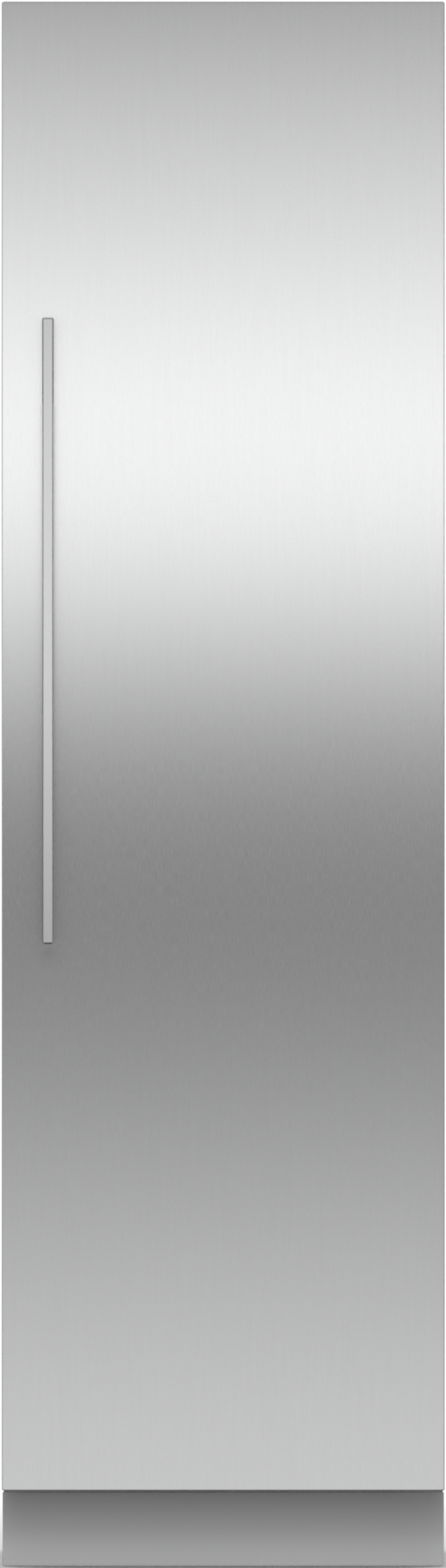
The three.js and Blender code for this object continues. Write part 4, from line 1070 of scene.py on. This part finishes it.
rear_sheet()
machine_cover()
eased_solid("power_inlet", 0.8, BLACK_PLASTIC)
inlet_pins()
threaded_foot("front_foot_left")
threaded_foot("front_foot_right")
base_roller("rear_roller_left")
base_roller("rear_roller_right")
for sheet in ("side_panel_left", "side_panel_right", "top_panel"):
    outer_sheet(sheet)
eased_solid("door_shell", 0.5, SIDE_PAINT)
eased_solid("base_pan", 0.3, GALVANISED)
eased_solid("service_grille", 0.7, BLACK_PLASTIC)
eased_solid("top_hinge_plate", 0.6, ZINC)
eased_solid("bottom_hinge_plate", 0.6, ZINC)
hinge_pin("top_hinge_pin", upward=False)
hinge_pin("bottom_hinge_pin", upward=True)
eased_solid("door_cap_top", 0.8, LINER_WHITE)
eased_solid("door_cap_bottom", 0.8, LINER_WHITE)
hinge_screws()


# Machine compartment and air fans


def smooth_path(corners, bend):
    """Straight runs between corners in space, joined by arcs.

    At a corner P with unit directions u and v to its neighbours, a point of the arc is
    P + bend * ((1 - t)² u + t² v), t from 0 to 1.
    """
    corners = np.asarray(corners, float)
    t = np.linspace(0, 1, 8)[:, None]
    parts = [corners[:1]]
    for before, corner, after in zip(corners[:-2], corners[1:-1], corners[2:]):
        u, v = before - corner, after - corner
        u, v = u / np.linalg.norm(u), v / np.linalg.norm(v)
        parts.append(corner + bend * ((1 - t) ** 2 * u + t**2 * v))
    return np.concatenate(parts + [corners[-1:]])


def serpentine(left, right, levels, y):
    """A flat winding pipe: runs along X at each level, joined by half circles at the ends."""
    t = np.linspace(-math.pi / 2, math.pi / 2, 9)
    ends = [(right, 1) if i % 2 == 0 else (left, -1) for i in range(len(levels))]
    parts = [[(left, y, levels[0])]]
    for (end, side), low, high in zip(ends, levels[:-1], levels[1:]):
        bend, middle = (high - low) / 2, (high + low) / 2
        parts.append(placed(end + side * bend * np.cos(t), middle + bend * np.sin(t), y, "xz"))
    parts.append([(ends[-1][0], y, levels[-1])])
    return np.concatenate(parts)


def finned_coil(node, count, radius, fin_finish, pipe_finish):
    """A heat exchanger: a row of thin fins on two winding pipes, one behind the other."""
    low, high = corners_of(node)
    levels, half_thick = 7, 0.35
    bend = (high[2] - low[2]) / levels / 2
    left, right = low[0] + bend + radius + 1, high[0] - bend - radius - 1
    (near, bottom), (far, top) = low[1:], high[1:]
    fin = [(near, bottom), (far, bottom), (far, top), (near, top)]
    places = np.linspace(left + 2, right - 2, count)
    fins = [extruded(fin, x - half_thick, x + half_thick) for x in places]
    make_piece(node + "_fins", fins, fin_finish, node)
    heights = bottom + (np.arange(levels) + 0.5) * 2 * bend
    pipes = [
        tube(serpentine(left, right, heights, near + share * (far - near)), radius, (0, 1, 0))
        for share in (0.27, 0.73)
    ]
    add_detail(node + "_pipes", pipes, pipe_finish, node)


def fan_wheel(node, shroud):
    """A fan: a domed hub and seven twisted blades.

    At share s of a blade's length the chord c turns from the wheel's plane by the pitch, which goes
    from 40 to 24 degrees. The blade's section is the line t c, with a thickness that goes as
    1 - (2 t)⁴ and a camber of 6 % that goes as 1 - (2 t)². A distance d along the rim at radius r
    becomes the angle d / r.
    """
    low, high = corners_of(node)
    centre = (sum(corners_of(shroud)) / 2)[[0, 2]]
    near, far = low[1], high[1]
    reach = (high[2] - low[2]) / 2 * 0.985
    hub = 0.3 * (reach + 3)
    root, bore = 0.9 * hub, 0.25 * hub
    chain = rounded_chain(
        [
            (bore, near + 0.3, 0),
            (0.8 * hub, near + 0.3, 3),
            (hub, near + 4, 3),
            (hub, far - 0.5, 0.8),
            (bore, far - 0.5, 0),
        ]
    )
    shells = [turned(chain, centre, 40, "xz")]
    blades, sweep, half_thick, camber = 7, 0.25, 0.8, 0.06
    root_chord, tip_chord, root_pitch, tip_pitch = 0.52, 0.74, 40, 24
    s = np.linspace(0, 1, 10)[:, None]
    t = np.linspace(-0.5, 0.5, 9)
    face = np.repeat([1, -1], len(t))
    t = np.concatenate([t, t[::-1]])
    pitch = np.radians(root_pitch + (tip_pitch - root_pitch) * s)
    chord = (root_chord + (tip_chord - root_chord) * s) * reach
    chord = np.minimum(chord, (far - near - 3) / np.sin(pitch))
    radius = root + (reach - root) * s
    thick = face * half_thick * (1 - (2 * t) ** 4) + camber * chord * (1 - (2 * t) ** 2)
    along = t * chord * np.cos(pitch) - thick * np.sin(pitch)
    across = t * chord * np.sin(pitch) + thick * np.cos(pitch)
    for turn in full_circle(blades):
        angle = along / radius + turn + sweep * s
        shells.append(closed_shell(polar(centre, radius, angle, (near + far) / 2 + across, "xz")))
    make_piece(node + "_wheel", shells, BLACK_PLASTIC, node, 50)


def compressor_unit():
    """The compressor: a welded shell turned about its axis, on a foot plate with rubber mounts."""
    low, high = corners_of("compressor")
    reach, radius, floor, weld = 78, 68, low[2], 1.2
    half = np.array([reach, reach * 0.7])
    centre = np.array([high[0] - reach, high[1] - radius])
    body = rounded_chain(
        [
            (10, floor + 14, 0),
            (40, floor + 14, 12),
            (radius - weld, floor + 36, 26),
            (radius - weld, floor + 150, 34),
            (44, floor + 182, 40),
            (10, floor + 186, 0),
        ],
        8,
    )
    seam = rounded_chain(
        [
            (radius - 3, floor + 91, 0),
            (radius, floor + 91, 0.8),
            (radius, floor + 96, 0.8),
            (radius - 3, floor + 96, 0),
        ],
        3,
    )
    start, end = (*(centre - half), floor + 11), (*(centre + half), floor + 14)
    shells = [
        turned(body, centre, 64),
        eased_block(start, end, 0.8, "xy", 3, 14),
        turned(seam, centre, 64),
    ]
    make_piece("compressor_shell", shells, BLACK_ENAMEL, "compressor")
    mount = rounded_chain(
        [
            (4, floor, 0),
            (11, floor, 1.2),
            (9, floor + 5, 1.5),
            (9, floor + 8, 1.5),
            (11, floor + 10.5, 1),
            (4, floor + 10.5, 0),
        ],
        3,
    )
    mounts = [
        turned(mount, centre + (half - 11) * (x, y), 24) for x in (-1, 1) for y in (-1, 1)
    ]
    add_detail("compressor_mounts", mounts, RUBBER, "compressor")
    start = (centre[0] - 24, low[1], floor + 78)
    end = (centre[0] + 24, centre[1] - 55, floor + 122)
    cover = eased_block(start, end, 3, "xz", 4, 6)
    add_detail("terminal_cover", [cover], BLACK_PLASTIC, "compressor")


def refrigerant_pipes():
    """Copper pipes from the compressor's stubs to the coils."""
    low, high = corners_of("compressor")
    x, y, z = low[0], high[1] - 68, low[2]  # the shell's axis lies at y
    hot = smooth_path(
        [
            (x + 34, y, z + 50),
            (x + 4, y, z + 50),
            (x - 20, y - 60, z + 50),
            (x - 20, -20, z + 130),
            (x - 60, -110, z + 130),
            (-68, -111, z + 130),
        ],
        12,
    )
    cold = smooth_path(
        [
            (x + 34, y, z + 100),
            (x + 4, y, z + 100),
            (x - 8, y + 30, z + 100),
            (x - 8, y + 30, 285),
        ],
        8,
    )
    pipes = [tube(hot, 3, (0.15, 0.25, 0.95)), tube(cold, 4, (0.6, 0.8, 0.05))]
    add_detail("refrigerant_pipes", pipes, COPPER, "compressor")


def drain_tub():
    """The shallow tray for defrost water."""
    low, high = corners_of("drain_pan")
    bottom, top, wall, draft = low[2], high[2], 2.5, 3
    profile = [(draft, bottom, 8), (0, top, 1), (wall, top, 1), (wall + draft, bottom + wall, 8)]
    shell = tub(low, high, 18, wall, profile, 5)
    make_piece("drain_tub", [shell], BLACK_PLASTIC, "drain_pan")


finned_coil("condenser", 42, 3.2, BLACK_ENAMEL, BLACK_ENAMEL)
finned_coil("evaporator", 48, 3.6, FIN_ALUMINIUM, ALUMINIUM)
fan_wheel("condenser_fan", "condenser_fan_shroud")
fan_wheel("evaporator_fan", "evaporator_fan_shroud")
eased_solid("condenser_fan_shroud", 0.5, BLACK_PLASTIC)
eased_solid("evaporator_fan_shroud", 0.5, BLACK_PLASTIC)
compressor_unit()
refrigerant_pipes()
drain_tub()

# Solids that keep their shape
dress(GALVANISED, "deck_plate")
dress(FOAM, "cabinet_foam", "door_foam")
dress(CORE_BOARD, "panel_core")


# Floor, light and camera, in metres


def graded(tree, place, stops):
    """Brightness by height: smooth between stops of (height, brightness)."""
    first, last = stops[0][0], stops[-1][0]
    height = put(tree, "SeparateXYZ", None, {0: place}).outputs["Z"]
    span = {"Value": height, "From Min": first, "From Max": last}
    share = put(tree, "MapRange", None, span).outputs[0]
    ramp = put(tree, "ValToRGB", None, {"Fac": share})
    ramp.color_ramp.interpolation = "EASE"
    elements = ramp.color_ramp.elements
    while len(elements) < len(stops):
        elements.new(0.5)
    for element, (level, brightness) in zip(elements, stops):
        element.position = (level - first) / (last - first)
        element.color = (brightness, brightness, brightness, 1.0)
    return ramp.outputs["Color"]


def plain_sheet(name, corners, material):
    """One flat rectangle, for the floor and the light in front."""
    mesh = bpy.data.meshes.new(name)
    mesh.from_pydata(corners, [], [(0, 1, 2, 3)])
    mesh.materials.append(material)
    made = linked(name, mesh)
    return made


def bell(tree, value, centre, width):
    """exp(-((value - centre) / width)²)."""
    share = maths(tree, "DIVIDE", maths(tree, "SUBTRACT", value, centre), width)
    square = maths(tree, "MULTIPLY", share, share)
    return maths(tree, "EXPONENT", maths(tree, "MULTIPLY", square, -1.0))


def soft_wall():
    """A tall diffuser in front of the refrigerator, mirrored in its metal, with rows of lamps.

    Its brightness is a base plus, for each row, strength * exp(-((height - centre) / width)²), and
    not under a least value. Side strips are brighter, and show as thin lines on the rounded edges.
    """
    base, least = -1.93, 0.05
    rows = [(1.83, 1.617, 0.311), (2.065, 2.204, 0.561), (3.355, -0.5, 2.168)]
    half, y, low, high = 1.5, -1.6, 0.01, 3.0
    strip_start, strip_gain = 0.95, 1.0
    material = bpy.data.materials.new("soft wall")
    material.use_nodes = True
    tree = material.node_tree
    tree.nodes.clear()
    place = put(tree, "SeparateXYZ", None, {0: on_object(tree)}).outputs
    level = base
    for strength, centre, width in rows:
        lamp = bell(tree, place["Z"], centre, width)
        level = maths(tree, "MULTIPLY_ADD", lamp, strength, level)
    level = maths(tree, "MAXIMUM", level, least)
    sideways = maths(tree, "ABSOLUTE", place["X"])
    strip = smooth_step(tree, sideways, strip_start, half, 1.0, 1.0 + strip_gain)
    glow = put(tree, "Emission", None, {"Strength": maths(tree, "MULTIPLY", level, strip)})
    out = tree.nodes.new("ShaderNodeOutputMaterial")
    tree.links.new(glow.outputs[0], out.inputs["Surface"])
    corners = [(half, y, low), (-half, y, low), (-half, y, high), (half, y, high)]
    wall = plain_sheet("soft_wall", corners, material)
    wall.visible_camera = False
    wall.visible_shadow = False
    wall.visible_diffuse = False


def studio_floor():
    """A pale floor that fades into the white behind it with the distance from the refrigerator."""
    half, fade_start, fade_end = 6.0, 0.8, 2.6
    matt = {"Base Color": (0.9, 0.9, 0.9, 1.0), "Specular IOR Level": 0.0}
    material, tree, shader = blank_finish("pale floor", 0.6, 0.0, matt)
    distance = put(tree, "VectorMath", {"operation": "LENGTH"}, {0: on_object(tree)})
    fade = smooth_step(tree, distance.outputs["Value"], fade_start, fade_end, 1.0, 0.0)
    tree.links.new(fade, shader.inputs["Alpha"])
    corners = [(-half, -half, 0), (half, -half, 0), (half, half, 0), (-half, half, 0)]
    plain_sheet("studio_floor", corners, material).visible_glossy = False


def white_room():
    """White all round for the camera, and a soft grey room for light and reflections.

    The room is graded by height, and darker towards both sides.
    """
    stops = [(-1.0, 0.05), (-0.6, 0.08), (-0.15, 0.75), (0.2, 0.6), (1.0, 0.6)]
    side_start, side_end, side_light, white_light = 0.5, 0.9, 0.15, 1.05
    world = bpy.data.worlds.new("white room")
    scene.world = world
    world.use_nodes = True
    tree = world.node_tree
    tree.nodes.clear()
    direction = put(tree, "TexCoord").outputs["Generated"]
    level = graded(tree, direction, stops)
    sideways = put(tree, "SeparateXYZ", None, {0: direction}).outputs["X"]
    sideways = maths(tree, "ABSOLUTE", sideways)
    dimmed = smooth_step(tree, sideways, side_start, side_end, 1.0, side_light)
    room = put(tree, "Background", None, {"Color": level, "Strength": dimmed})
    white = put(tree, "Background", None, {"Color": (1, 1, 1, 1), "Strength": white_light})
    seen = put(tree, "LightPath").outputs["Is Camera Ray"]
    both = put(tree, "MixShader", None, {0: seen, 1: room.outputs[0], 2: white.outputs[0]})
    out = tree.nodes.new("ShaderNodeOutputWorld")
    tree.links.new(both.outputs[0], out.inputs["Surface"])


def soft_lamp(name, place, aim, width, height, power, mirrored=False):
    """A flat soft lamp at a place, turned towards an aim.

    A mirrored one shows in polished metal alone, and any other lights all but that.
    """
    lamp = bpy.data.lights.new(name, "AREA")
    lamp.shape = "RECTANGLE"
    lamp.size = width
    lamp.size_y = height
    lamp.energy = power
    made = linked(name, lamp)
    made.location = place
    direction = Vector(aim) - Vector(place)
    made.rotation_euler = direction.to_track_quat("-Z", "Y").to_euler()
    made.visible_camera = False
    made.visible_glossy = mirrored
    made.visible_diffuse = not mirrored


def front_camera():
    """A long lens far in front, level, aimed at the middle of the photograph's frame.

    The scale is the length of a pixel in the plane of the door's face.
    """
    lens, sensor = 440.0, 36.0
    image_height, scale, aim_left, aim_height = 1999, 1.0678 * MM, 0.3, 1.06887
    lens_data = bpy.data.cameras.new("front_camera")
    lens_data.lens = lens
    lens_data.sensor_width = sensor
    lens_data.clip_end = 200.0
    camera = linked("front_camera", lens_data)
    panel_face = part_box("door_panel")[0][1]
    distance = image_height * scale * lens / sensor
    camera.location = (-aim_left * scale, panel_face - distance, aim_height)
    camera.rotation_euler = (math.pi / 2, 0, 0)
    scene.camera = camera


soft_wall()
studio_floor()
white_room()
soft_lamp("top_lamp", (0.0, 0.6, 4.2), (0, 0.2, 0), 3.5, 3.5, 100)
soft_lamp("plinth_lamp", (0.0, -0.26, 0.012), (0, 0, 0.012), 0.7, 0.02, 0.10, mirrored=True)
front_camera()
scene.view_settings.view_transform = "Standard"
